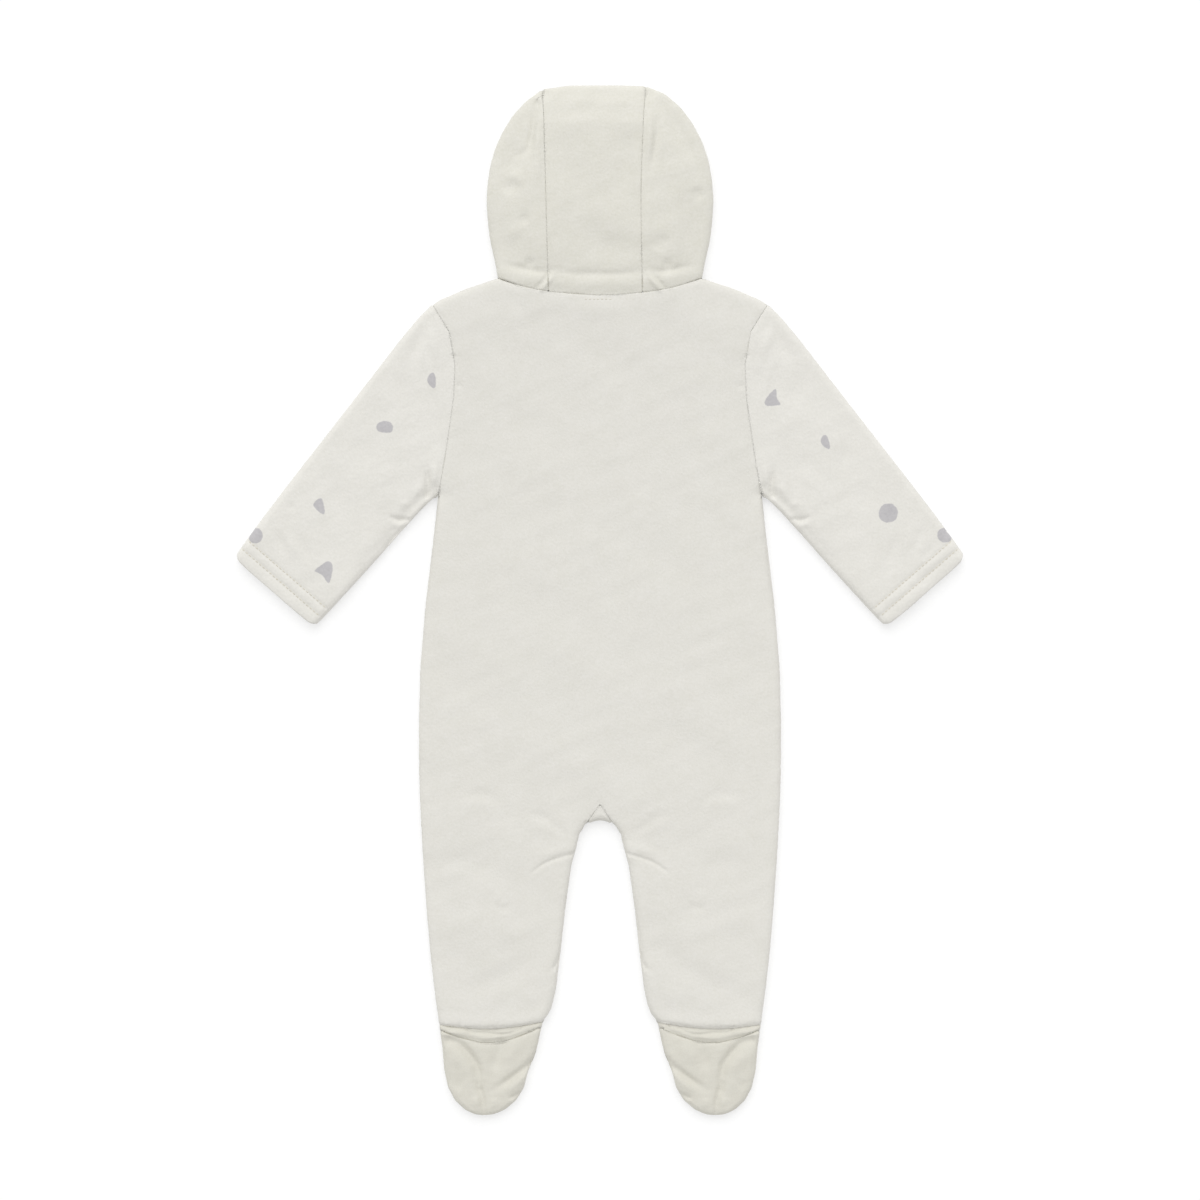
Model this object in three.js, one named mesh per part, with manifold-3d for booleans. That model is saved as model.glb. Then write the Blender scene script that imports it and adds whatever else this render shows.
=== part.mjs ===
// A hooded, footed baby pramsuit in plush velour, laid flat, face down, on a surface.
// Millimetres, +Z up, +Y towards the hood, +X to the right of someone looking down on its back.
// The origin is on the surface, under the middle of the garment. The wearer's left is on -X.
//
// The garment lies as two layers, one on the other: the back, heels and soles on top, the fronts
// and the uppers of the feet below. Sleeves are flattened tubes, and the hood folds round its
// outline to a face opening underneath. Every piece is one thickened grid of points.

import * as THREE from "three";
import Module from "manifold-3d";
import { mergeVertices } from "three/addons/utils/BufferGeometryUtils.js";

const wasm = await Module();
wasm.setup();

// ---------------------------------------------------------------- driving sizes

const WALL = 4; // plush velour, its ground and its lining, sewn as one
const LAYER_GAP = 0.8; // left between the two laid layers, which the lining's folds fill
const SEAM = 0.3; // between two pieces at a seam
const CURVED_SEAM = 0.8; // at a curved seam, whose two sides are faceted apart
const EDGE = WALL + LAYER_GAP / 2; // radius of a rounded edge, half the laid thickness
const MID = EDGE; // height of the side seams over the surface

// how far the hood's back stands over the laid thickness, from its neck up and its outline in
const HOOD_RISE = { from: 222, to: 262, rise: 4.5, reach: 34 };
// the back climbs to the hood's seam, less so near the outline
const NECK_LIFT = { from: 156, to: 226, rise: 1.9, reach: 24 };
const HEM_PUFF = { rise: 1.2, reach: 9, roll: 2.6, rollReach: 4 }; // leg hem over the heel
const FOOT_DROP = { heel: 1.6, crown: 0.8, sole: 0.5 }; // below the back; the heel's middle, less

// the rounded edge's steps, from its seam face to the flat of the layer, in degrees
const EDGE_TURN = [0, 48, 90];
const EDGE_INSETS = EDGE_TURN.map((turn) => EDGE * (1 - Math.cos(THREE.MathUtils.degToRad(turn))));

// right half of the outline, seen from above; the left half mirrors it
const HOOD_OUTLINE = [
  { x: 0, y: 371.2 },
  { x: 11, y: 371.2 },
  { x: 22, y: 371.1 },
  { x: 32, y: 370.6 },
  { x: 44, y: 366.8 },
  { x: 59.4, y: 353.9 },
  { x: 70.9, y: 336.6 },
  { x: 77.8, y: 319.3 },
  { x: 81, y: 302 },
  { x: 82, y: 287 },
  { x: 80, y: 263 },
  { x: 77, y: 249 },
  { x: 73.8, y: 232 },
];
const SHOULDER_LINE = [
  { x: 73.8, y: 232 },
  { x: 97.2, y: 224.3 },
  { x: 108, y: 220 },
  { x: 116.6, y: 215.9 },
  { x: 121, y: 213 },
];
const SLEEVE_OUTER = [
  { x: 121, y: 213 },
  { x: 127, y: 207.8 },
  { x: 144.7, y: 186.8 },
  { x: 177.8, y: 143.6 },
  { x: 211.7, y: 100.4 },
  { x: 244.8, y: 57.2 },
  { x: 264, y: 30.4 },
];
const SLEEVE_INNER = [
  { x: 116.8, y: 75.2 },
  { x: 123.5, y: 70.4 },
  { x: 136.8, y: 56.6 },
  { x: 162, y: 28 },
  { x: 187.9, y: -0.6 },
  { x: 205.9, y: -20 },
];
const BODY_SIDE = [
  { x: 116.8, y: 75.2 },
  { x: 118.8, y: 57 },
  { x: 122, y: 28 },
  { x: 128.5, y: -29 },
  { x: 130.7, y: -87 },
  { x: 130, y: -144 },
  { x: 126.7, y: -202 },
  { x: 122, y: -260 },
  { x: 116.6, y: -303 },
  { x: 112.3, y: -332 },
];
const INNER_LEG = [
  { x: 15.9, y: -175 },
  { x: 19.8, y: -187.6 },
  { x: 24.1, y: -216.4 },
  { x: 27.4, y: -245 },
  { x: 30.6, y: -274 },
  { x: 33.2, y: -289 },
  { x: 36.4, y: -298 },
  { x: 41, y: -304.5 },
  { x: 43.9, y: -317 },
  { x: 47.6, y: -331 },
  { x: 51.7, y: -341 },
];
const ARCH = { halfWidth: 15.9, height: 16, base: -175 }; // between the legs
const TOE = { x: 83.5, tip: -371.6, outer: 28, inner: 32, outerBase: -340, innerBase: -336,
  flat: 7 }; // flat is half the width of its last row

// seams inside the outline
const ARMHOLE = [
  { x: 121, y: 213 },
  { x: 115.8, y: 205.3 },
  { x: 108.9, y: 194.3 },
  { x: 105.4, y: 178.2 },
  { x: 104, y: 160.9 },
  { x: 105.2, y: 147.2 },
  { x: 107.7, y: 128.7 },
  { x: 112.9, y: 94.1 },
  { x: 116.8, y: 75.2 },
];
const BACK_NECK = [
  { x: 0, y: 219.2 },
  { x: 44, y: 223 },
  { x: 73.8, y: 232 },
];
const FRONT_NECK = [
  { x: 0, y: 195.6 },
  { x: 12, y: 196.6 },
  { x: 34, y: 203 },
  { x: 56, y: 215.5 },
  { x: 73.8, y: 232 },
];
const FACE_OPENING = [
  { x: 8, y: 196.4 },
  { x: 30, y: 216 },
  { x: 46, y: 242 },
  { x: 54, y: 272 },
  { x: 55, y: 300 },
  { x: 47, y: 326 },
  { x: 33, y: 337 },
];
// the strip down the middle of the hood is a little off centre, as it lies
const HOOD_STRIP = [
  { y: 221, left: -37, right: 30.5 },
  { y: 295, left: -38.9, right: 29.4 },
  { y: 371, left: -41, right: 32.3 },
];
const HOOD_STRIP_CORNER = 352; // where the strip's seam turns towards the crown's fold
const FOREHEAD = 337; // the face opening's edge under the crown
const GUSSET = { apex: -146.5, cornerX: 11.6, cornerY: -164.1, endX: 7.6, clear: 1.2 };
const LEG_HEM = { side: -305.5, middle: -308.5, inner: -303.5 };
const HEEL = { ends: 3.5, middle: 10, width: 76 }; // depths and width of the crescent
const FRONT_HEM = -316;

// zip at the centre front
const ZIP = { halfWidth: 6.5, top: 194, bottom: -116, join: -121 };
const TAPE = { inner: 2.4, low: 3.4, high: 4.1 };
const TEETH = { halfWidth: 2.1, low: 2.9, high: 4.4 };
const SLIDER = { length: 10, width: 7.6, head: 192.5, plate: 0.5, low: 2.0, high: 4.95 };
const POST = { halfWidth: 1, back: 4, front: 0.6 }; // its ends behind the slider's head
const STOP = { start: 1, length: 4.7 }; // over the tapes' lower end
const BRIDGE = { halfWidth: 0.8, halfLength: 2, bar: 0.5, low: 0.3 };
const PULL = { bar: 0.6, axisZ: 1.15, eye: 1.15, arm: 1, reach: 3, length: 24, halfTip: 3.2 };

// ---------------------------------------------------------------- cloth and metal

const cloth = (name, color) => new THREE.MeshStandardMaterial({ name, color, roughness: 0.95 });
const velour = cloth("plush_velour", 0xe1dfd7);
const printedVelour = cloth("printed_velour", 0xe3e1db);
const footCloth = cloth("foot_fleece", 0xd8d6cd);
const tapeCloth = cloth("zip_tape", 0xe6e4dd);
const teethPlastic = new THREE.MeshStandardMaterial({
  name: "zip_plastic", color: 0xe8e6e0, roughness: 0.45 });
const metal = new THREE.MeshStandardMaterial({
  name: "zip_metal", color: 0xb9b9b7, roughness: 0.35, metalness: 1 });

// ---------------------------------------------------------------- curves

const lerp = THREE.MathUtils.lerp;
const smooth = THREE.MathUtils.smoothstep;

/** Smooth curve through a table's rows, as [x, y] at a share of its length. */
function curveThrough(rows) {
  const spline = new THREE.SplineCurve(rows.map((row) => new THREE.Vector2(row.x, row.y)));
  spline.arcLengthDivisions = 400;
  return {
    length: spline.getLength(),
    at(share) {
      const point = spline.getPointAt(THREE.MathUtils.clamp(share, 0, 1));
      return [point.x, point.y];
    },
  };
}

/** Smooth function through a table: the column `value` at a place in the column `key`. */
function columnOf(rows, key, value) {
  const sorted = [...rows].sort((a, b) => a[key] - b[key]);
  const spline = new THREE.SplineCurve(sorted.map((row) => new THREE.Vector2(row[key], row[value])));
  const samples = spline.getPoints(sorted.length * 24);
  return (place) => {
    const after = samples.findIndex((sample) => sample.x >= place);
    if (after === 0) return samples[0].y;
    if (after < 0) return samples[samples.length - 1].y;
    const [low, high] = [samples[after - 1], samples[after]];
    return lerp(low.y, high.y, (place - low.x) / (high.x - low.x));
  };
}

/** `count` + 1 even steps from 0 to 1. */
const evenSteps = (count) => Array.from({ length: count + 1 }, (_, step) => step / count);

const bodySide = columnOf(BODY_SIDE, "y", "x");
const innerLeg = columnOf(INNER_LEG, "y", "x");
const backNeck = columnOf(BACK_NECK, "x", "y");
const frontNeck = columnOf(FRONT_NECK, "x", "y");
const shoulder = columnOf(SHOULDER_LINE, "x", "y");
const stripLeft = columnOf(HOOD_STRIP, "y", "left");
const stripRight = columnOf(HOOD_STRIP, "y", "right");
const hoodEdge = curveThrough(HOOD_OUTLINE);
const sleeveOuter = curveThrough(SLEEVE_OUTER);
const sleeveInner = curveThrough(SLEEVE_INNER);
const armhole = curveThrough(ARMHOLE);
const faceEdge = curveThrough(FACE_OPENING);

/** Height of the arch between the legs at x. */
function archY(x) {
  return ARCH.base + ARCH.height * Math.sqrt(Math.max(0, 1 - (x / ARCH.halfWidth) ** 2));
}

/** The edge of the toe, from its outer side (0) round the tip to its inner side (1). */
function toeEdge(share) {
  const turn = Math.PI * share;
  const outer = turn < Math.PI / 2;
  const half = outer ? TOE.outer : TOE.inner;
  const base = outer ? TOE.outerBase : TOE.innerBase;
  return [TOE.x + half * Math.cos(turn), base - (base - TOE.tip) * Math.sin(turn)];
}

/** Inner edge of a leg at y, on the arch or below it. */
function legInner(y) {
  if (y <= ARCH.base) return innerLeg(y);
  return ARCH.halfWidth * Math.sqrt(Math.max(0, 1 - ((y - ARCH.base) / ARCH.height) ** 2));
}

/** The leg hem, across a leg from its inner (0) to its outer (1) edge. */
function legHem(share) {
  const sag = LEG_HEM.middle - (LEG_HEM.inner + LEG_HEM.side) / 2;
  return lerp(LEG_HEM.inner, LEG_HEM.side, share) + sag * Math.sin(Math.PI * share);
}

// ---------------------------------------------------------------- outline and layers

/** The whole outline, anticlockwise, as points. The sleeves run on past their open cuffs. */
function makeOutline() {
  const beyond = (curve) => {
    const [end, before] = [curve.at(1), curve.at(0.9)];
    return [end[0] + (end[0] - before[0]) * 2, end[1] + (end[1] - before[1]) * 2];
  };
  const along = (curve, count) => evenSteps(count).map((share) => curve.at(share));
  const side = (edge, from, to, count) => evenSteps(count).map((share) => {
    const y = lerp(from, to, share);
    return [edge(y), y];
  });
  const shoulderEdge = evenSteps(16).map((share) => {
    const x = lerp(SHOULDER_LINE[0].x, SHOULDER_LINE[4].x, share);
    return [x, shoulder(x)];
  });
  const arch = evenSteps(16).map((share) => {
    const turn = (Math.PI / 2) * share;
    return [ARCH.halfWidth * Math.cos(turn), ARCH.base + ARCH.height * Math.sin(turn)];
  });
  const right = [
    ...along(hoodEdge, 56),
    ...shoulderEdge,
    ...along(sleeveOuter, 60),
    beyond(sleeveOuter),
    beyond(sleeveInner),
    ...along(sleeveInner, 40).reverse(),
    ...side(bodySide, BODY_SIDE[0].y, TOE.outerBase, 100),
    ...evenSteps(40).map(toeEdge),
    ...side(innerLeg, TOE.innerBase, ARCH.base, 60),
    ...arch,
  ];
  const left = right.map(([x, y]) => [-x, y]).reverse();
  const ring = [...right, ...left];
  return ring.filter((point, index) => {
    const next = ring[(index + 1) % ring.length];
    return Math.hypot(point[0] - next[0], point[1] - next[1]) > 0.01;
  }).reverse();
}

const outline = makeOutline();

/** Nearest place of the outline: its distance, and the way from it into the garment. */
function fromOutline(x, y) {
  let distance = Infinity;
  let away = [0, 0];
  let inward = [0, 0];
  outline.forEach(([ax, ay], index) => {
    const [bx, by] = outline[(index + 1) % outline.length];
    const [ex, ey] = [bx - ax, by - ay];
    const share = THREE.MathUtils.clamp(((x - ax) * ex + (y - ay) * ey) / (ex * ex + ey * ey), 0, 1);
    const offset = [x - ax - share * ex, y - ay - share * ey];
    const gap = Math.hypot(...offset);
    const length = Math.hypot(ex, ey);
    const normal = [-ey / length, ex / length];
    if (gap < distance - 0.001) {
      [distance, away, inward] = [gap, offset, normal];
    } else if (gap < distance + 0.001) {
      inward = [inward[0] + normal[0], inward[1] + normal[1]];
    }
  });
  const onEdge = 0.25; // closer than this a point is on the outline
  const way = distance < onEdge ? inward : away;
  const length = Math.hypot(...way);
  return { distance: distance < onEdge ? 0 : distance, way: [way[0] / length, way[1] / length] };
}

/** How far the top layer stands over the laid thickness, from the hood's and the neck's fullness. */
function fullness(y, distance) {
  const swell = ({ from, to, rise, reach }) => rise * smooth(y, from, to) * smooth(distance, 0, reach);
  return swell(NECK_LIFT) + swell(HOOD_RISE);
}

/**
 * One place of a layer: its outer and inner points. `side` is 1 on top and -1 below, `gap` is
 * left at mid height where the edge is a seam, and `puff` moves the outer face alone.
 */
function place(x, y, side, gap = SEAM, puff = 0) {
  const { distance, way } = fromOutline(x, y);
  const cos = Math.max(0, 1 - distance / EDGE);
  const sin = Math.sqrt(1 - cos * cos);
  const full = side > 0 ? fullness(y, distance) : 0;
  const level = (radius) => MID + side * (gap / 2 + (radius - gap / 2) * sin + full);
  return {
    outer: [x, y, level(EDGE) + side * puff * sin],
    inner: [x + way[0] * WALL * cos, y + way[1] * WALL * cos, level(EDGE - WALL)],
  };
}

// ---------------------------------------------------------------- solids

/** Closed geometry from triangles of points, with the shared points merged. */
function closedGeometry(triangles) {
  const geometry = new THREE.BufferGeometry();
  geometry.setAttribute("position", new THREE.Float32BufferAttribute(triangles.flat(2), 3));
  return mergeVertices(geometry, 1e-4);
}

/** Six times the volume that triangles enclose, negative when they face inwards. */
function signedVolume(triangles) {
  return triangles.reduce((sum, [a, b, c]) => sum
    + a[0] * (b[1] * c[2] - b[2] * c[1])
    - a[1] * (b[0] * c[2] - b[2] * c[0])
    + a[2] * (b[0] * c[1] - b[1] * c[0]), 0);
}

/**
 * A sheet of cloth as a closed mesh. `grids` are tables of places that meet where their outer
 * points are the same: both faces are laid from them, and every free border gets a rim.
 */
function sheet(name, material, grids, wrap = false) {
  const places = [];
  const known = new Map();
  const keyOf = (point) => point.map((value) => Math.round(value * 1000)).join(" ");
  const indexOf = (spot) => {
    const key = keyOf(spot.outer);
    if (!known.has(key)) {
      known.set(key, places.length);
      places.push(spot);
    }
    return known.get(key);
  };
  const faces = [];
  for (const { rows, flip } of grids) {
    const indexed = rows.map((row) => row.map(indexOf));
    for (let row = 0; row + 1 < indexed.length; row += 1) {
      const count = indexed[row].length;
      for (let column = 0; column < (wrap ? count : count - 1); column += 1) {
        const next = (column + 1) % count;
        const [above, below] = [indexed[row], indexed[row + 1]];
        const quad = [above[column], below[column], below[next], above[next]];
        if (flip) quad.reverse();
        faces.push([quad[0], quad[1], quad[2]], [quad[0], quad[2], quad[3]]);
      }
    }
  }
  const solid = faces.filter(([a, b, c]) => a !== b && b !== c && c !== a);
  const edges = new Set(solid.flatMap(([a, b, c]) => [`${a} ${b}`, `${b} ${c}`, `${c} ${a}`]));
  const triangles = [];
  for (const [a, b, c] of solid) {
    triangles.push([places[a].outer, places[b].outer, places[c].outer]);
    triangles.push([places[a].inner, places[c].inner, places[b].inner]);
  }
  for (const edge of edges) {
    const [a, b] = edge.split(" ").map(Number);
    if (edges.has(`${b} ${a}`)) continue;
    triangles.push([places[b].outer, places[a].outer, places[a].inner]);
    triangles.push([places[b].outer, places[a].inner, places[b].inner]);
  }
  if (signedVolume(triangles) < 0) triangles.forEach((triangle) => triangle.reverse());
  const mesh = new THREE.Mesh(closedGeometry(triangles), material);
  mesh.name = name;
  return mesh;
}

/** The same grid on the wearer's other side. */
function mirrored(rows) {
  const flip = ([x, y, z]) => [-x, y, z];
  return rows.map((row) => row.map((spot) => ({ outer: flip(spot.outer), inner: flip(spot.inner) })));
}

/** Left and right versions of one piece, made from the right-hand grid. */
function pair(name, material, rows, wrap = false) {
  return [
    sheet(`${name}_left`, material, [{ rows: mirrored(rows), flip: true }], wrap),
    sheet(`${name}_right`, material, [{ rows, flip: false }], wrap),
  ];
}

/**
 * Shares of the way across a stretch `width` long: a rounded edge's steps at its end and, as far
 * as `start` says (0 to 1), at its start, with the shares in `middle` between them.
 */
function acrossShares(width, middle, start = 1, end = 1) {
  const insets = EDGE_INSETS.map((inset) => inset / width);
  const even = EDGE_INSETS.map((_, order) => (order * middle[0]) / EDGE_INSETS.length);
  const evenEnd = EDGE_INSETS.map((_, order) => (order * (1 - middle.at(-1))) / EDGE_INSETS.length);
  const first = insets.map((inset, order) => lerp(even[order], inset, start));
  const last = insets.map((inset, order) => 1 - lerp(evenEnd[order], inset, end)).reverse();
  return [...first, ...middle, ...last];
}

/** `count` even shares strictly between 0 and 1. */
const between = (count) => evenSteps(count + 1).slice(1, -1);

/** Whether a share lies strictly between 0 and 1. */
const inside = (share) => share > 0 && share < 1;

// ---------------------------------------------------------------- body: back and fronts

// shares down the armhole, crowded where it meets the outline at both ends
const ARMHOLE_SHARES = acrossShares(armhole.length, between(5));
const BACK_COLUMNS = [0.14, 0.28, 0.45, BACK_NECK[2].x / ARMHOLE[0].x, 0.8]; // one at the side neck
const FRONT_COLUMNS = [0.18, 0.32, 0.46, 0.588, 0.8]; // one at the side neck
const BODY_ROWS = [40, -5, -50, -90, ZIP.bottom + 0.3, ZIP.join];
const GUSSET_ROWS = [GUSSET.apex, -152.5, -158.5, GUSSET.cornerY];
const LEG_ROWS = [-169, -176, -192, -224, -256, -282];
const HEM_INSETS = [10, ...EDGE_INSETS.toReversed()]; // rows above the leg's end

/** How the hem's plush stands and rolls off, at a distance above the leg's end. */
function hemPuff(above) {
  const roll = Math.max(0, 1 - above / HEM_PUFF.rollReach);
  const rise = HEM_PUFF.rise * smooth(HEM_PUFF.reach - above, 0, HEM_PUFF.reach);
  return rise - HEM_PUFF.roll * (1 - Math.sqrt(Math.max(0, 1 - roll * roll)));
}

/**
 * Right half of the back or of a front. `topLine` gives its neck edge, `centre` its inner edge
 * above the gusset, `hem` the end of the leg by its share across, and `side` its layer.
 */
function bodyHalf({ topLine, neckX, centre, hem, side, columns }) {
  const rows = [];
  const topAt = (x) => (x < neckX ? topLine(x) : shoulder(x));
  const shareRow = (start, end, crowdStart, bend = () => 0, puff = () => 0) => {
    const width = Math.hypot(end[0] - start[0], end[1] - start[1]);
    rows.push(acrossShares(width, columns, crowdStart, 1).map((share) => {
      const x = lerp(start[0], end[0], share);
      const y = lerp(start[1], end[1], share) + bend(share, x);
      return place(x, y, side, SEAM, puff(share, y));
    }));
  };
  // chest: each row runs from the centre to a place on the armhole
  const seamGap = SEAM / 2;
  const neckGap = CURVED_SEAM / 2;
  const [topX, topY] = armhole.at(0);
  const top = topAt(centre(0)) - neckGap;
  for (const share of ARMHOLE_SHARES) {
    const [armX, armY] = armhole.at(share);
    const fade = (1 - share) ** 1.5;
    const innerY = top - (top - BODY_SIDE[0].y) * share;
    const start = [centre(innerY), innerY];
    const end = [armX - (share < 1 ? seamGap : 0), armY];
    const crook = (portion) => {
      const x = lerp(centre(0), topX, portion);
      const gap = x < neckX + 0.01 ? neckGap : 0;
      return (topAt(x) - gap - lerp(top, topY, portion)) * fade;
    };
    shareRow(start, end, 0, (portion) => (inside(portion) ? crook(portion) : 0));
  }
  for (const y of BODY_ROWS) shareRow([centre(y), y], [bodySide(y), y], 0);
  for (const y of GUSSET_ROWS) {
    const share = (GUSSET.apex - y) / (GUSSET.apex - GUSSET.cornerY);
    const x = lerp(centre(y), GUSSET.cornerX, share) + (inside(share) ? seamGap : 0);
    shareRow([x, y], [bodySide(y), y], share);
  }
  for (const y of LEG_ROWS) shareRow([legInner(y), y], [bodySide(y), y], 1);
  for (const above of HEM_INSETS) {
    const [innerY, outerY] = [hem(0) + above, hem(1) + above];
    const start = [legInner(innerY), innerY];
    const end = [bodySide(outerY), outerY];
    const sag = (share) => hem(share) - lerp(hem(0), hem(1), share);
    const puff = side > 0 ? () => hemPuff(above) : () => 0;
    shareRow(start, end, 1, sag, puff);
  }
  return rows;
}

/** The back, one piece across both legs. */
function makeBack() {
  const rows = bodyHalf({
    topLine: backNeck,
    neckX: BACK_NECK[2].x,
    centre: () => 0,
    hem: legHem,
    side: 1,
    columns: BACK_COLUMNS,
  });
  return sheet("back", velour, [{ rows, flip: false }, { rows: mirrored(rows), flip: true }]);
}

/** A front's inner edge: beside the zip, then at the centre seam below it. */
function frontCentre(y) {
  return y > ZIP.bottom ? ZIP.halfWidth : SEAM / 2;
}

/** Both fronts. */
function makeFronts() {
  const rows = bodyHalf({
    topLine: frontNeck,
    neckX: FRONT_NECK[4].x,
    centre: frontCentre,
    hem: () => FRONT_HEM,
    side: -1,
    columns: FRONT_COLUMNS,
  });
  return pair("front", velour, rows);
}

/** The gusset: a diamond folded over the arch between the legs. */
function makeGusset() {
  const columns = [-1, -0.75, -0.4, 0, 0.4, 0.75, 1].map((share) => share * GUSSET.endX);
  const slope = (GUSSET.cornerY - GUSSET.apex) / GUSSET.cornerX;
  const mostShares = [0, 0.2, 0.5, 0.8]; // of the way back from the fold, where that is short
  const rows = columns.map((x) => {
    const seamY = GUSSET.apex + slope * Math.abs(x) - GUSSET.clear;
    const depth = seamY - archY(x);
    const insets = EDGE_INSETS.map((inset, order) => Math.min(inset, mostShares[order] * depth));
    const layer = (side) => [depth, ...insets.toReversed()].map(
      (inset) => place(x, archY(x) + inset, side, 0));
    return [...layer(1), ...layer(-1).slice(0, -1).reverse()];
  });
  return sheet("gusset", velour, [{ rows, flip: false }]);
}

// ---------------------------------------------------------------- sleeves

const SLEEVE_ROWS = [0, 0.05, 0.14, 0.3, 0.5, 0.7, 0.86, 0.95, 1];
const CUFF_CORNER = { reach: 7, pull: 3 }; // rounding of the laid cuff's corners

/** A sleeve: a tube, flattened, from the armhole to its open cuff. */
function makeSleeves() {
  const [topX, topY] = armhole.at(0);
  const [endX, endY] = armhole.at(1);
  const [cuffX, cuffY] = sleeveOuter.at(1);
  const [beforeX, beforeY] = sleeveOuter.at(0.8);
  const stride = Math.hypot(cuffX - beforeX, cuffY - beforeY);
  const along = [(cuffX - beforeX) / stride, (cuffY - beforeY) / stride];
  const rows = SLEEVE_ROWS.map((down) => {
    const [outerX, outerY] = sleeveOuter.at(down);
    const [innerX, innerY] = sleeveInner.at(down);
    const width = Math.hypot(outerX - innerX, outerY - innerY);
    const free = acrossShares(width, between(5));
    const layer = (side) => ARMHOLE_SHARES.map((seamShare, index) => {
      const blend = (1 - down) ** 3;
      const share = lerp(free[index], seamShare, blend);
      const [seamX, seamY] = armhole.at(seamShare);
      const bow = [seamX - lerp(topX, endX, seamShare), seamY - lerp(topY, endY, seamShare)];
      const fromCorner = Math.min(share, 1 - share) * width;
      const corner = Math.max(0, 1 - fromCorner / CUFF_CORNER.reach) ** 2 * CUFF_CORNER.pull * down ** 12;
      const gap = down === 0 ? SEAM : 0;
      const x = lerp(outerX, innerX, share) + bow[0] * blend + gap - along[0] * corner;
      const y = lerp(outerY, innerY, share) + bow[1] * blend - along[1] * corner;
      return place(x, y, side, 0);
    });
    return [...layer(1), ...layer(-1).slice(1, -1).reverse()];
  });
  return pair("sleeve", printedVelour, rows, true);
}

// ---------------------------------------------------------------- hood

const CROWN_STEPS = 4; // places between a strip's seams
const CROWN_CLEAR = 1.1; // between strip and side panel where they fold over the crown
const [STRIP_NECK, STRIP_MIDDLE, STRIP_CROWN] = HOOD_STRIP.map((row) => row.y);

/** The strip over the middle of the hood, folded over the crown to the face opening. */
function makeHoodCentre() {
  const half = HOOD_OUTLINE.filter((row) => row.x < 60);
  const crown = columnOf([...half, ...half.slice(1).map(({ x, y }) => ({ x: -x, y }))], "x", "y");
  const shares = evenSteps(CROWN_STEPS);
  const across = (share, y) => lerp(stripLeft(y) + SEAM / 2, stripRight(y) - SEAM / 2, share);
  const topRow = (down) => shares.map((share) => {
    const x = across(share, STRIP_MIDDLE);
    const y = lerp(backNeck(Math.abs(x)) + SEAM / 2, crown(x) - EDGE, down);
    return place(across(share, y), y, 1, 0);
  });
  const foldRow = (inset, side) => shares.map((share) => {
    const x = across(share, STRIP_CROWN);
    return place(x, crown(x) - inset, side, 0);
  });
  const underRow = (down) => shares.map((share) => {
    const x = across(share, STRIP_CROWN);
    return place(x, lerp(crown(x) - EDGE, FOREHEAD, down), -1, 0);
  });
  const rows = [
    ...[0, 0.06, 0.16, 0.3, 0.48, 0.66, 0.84].map(topRow),
    ...EDGE_INSETS.toReversed().map((inset) => foldRow(inset, 1)),
    ...EDGE_INSETS.slice(1).map((inset) => foldRow(inset, -1)),
    ...[0.5, 1].map(underRow),
  ];
  return sheet("hood_centre", velour, [{ rows, flip: false }]);
}

/** One side panel of the hood; `seamX` is its seam with the strip, as a positive size. */
function hoodSideRows(seamX) {
  const topX = seamX(STRIP_CROWN);
  // the outline from where it clears the strip at the crown
  const startShare = evenSteps(400).find((share) => hoodEdge.at(share)[0] >= topX + CROWN_CLEAR);
  return evenSteps(11).map((down) => {
    const [edgeX, edgeY] = hoodEdge.at(lerp(1, startShare, down));
    const seamLow = backNeck(seamX(STRIP_NECK));
    const seamY = lerp(seamLow, HOOD_STRIP_CORNER, down);
    const gap = CURVED_SEAM / 2;
    const [aside, up] = [down === 1 ? CROWN_CLEAR : 0, down === 0 ? gap : 0];
    const seam = [seamX(seamY) + gap, seamY + up];
    const neckTop = (x) => backNeck(x) + gap;
    const neckUnder = (x) => frontNeck(x) + 3 * gap;
    const [faceX, faceY] = down === 1 ? [topX, FOREHEAD] : faceEdge.at(down);
    const topWidth = Math.hypot(edgeX - seam[0], edgeY - seam[1]);
    const underWidth = Math.hypot(edgeX - faceX, edgeY - faceY);
    const curved = (share, from, to, line) => {
      const x = lerp(from[0], to[0], share);
      const straight = lerp(from[1], to[1], share);
      return [x, down === 0 && inside(share) ? line(x) : straight];
    };
    const edge = [edgeX, edgeY + up];
    const top = acrossShares(topWidth, between(3), 0, 1).map((share) => {
      const [x, y] = curved(share, seam, edge, neckTop);
      return place(x, y, 1, 0);
    });
    const face = [faceX + aside, faceY + up];
    const under = acrossShares(underWidth, between(1), 1, 0).slice(1).map((share) => {
      const [x, y] = curved(share, edge, face, neckUnder);
      return place(x, y, -1, 0);
    });
    return [...top, ...under];
  });
}

/** Both side panels, each on its own seam of the strip. */
function makeHoodSides() {
  const right = hoodSideRows(stripRight);
  const left = hoodSideRows((y) => -stripLeft(y));
  return [
    sheet("hood_side_left", velour, [{ rows: mirrored(left), flip: true }]),
    sheet("hood_side_right", velour, [{ rows: right, flip: false }]),
  ];
}

// ---------------------------------------------------------------- feet

const FOOT_RISES = [44, 32, 20, 11]; // of its rows over the toe's tip
const EDGE_SHARE = 0.08; // most of a narrow row's width that each step of its rounded edge takes

/** Inner and outer edge of a foot at y. */
function footEdges(y) {
  const onArc = (half, base) => {
    const fall = Math.min(1, (base - y) / (base - TOE.tip));
    return half * Math.sqrt(1 - fall * fall);
  };
  const inner = y > TOE.innerBase ? innerLeg(y) : TOE.x - onArc(TOE.inner, TOE.innerBase);
  const outer = y > TOE.outerBase ? bodySide(y) : TOE.x + onArc(TOE.outer, TOE.outerBase);
  return [inner, outer];
}

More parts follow.
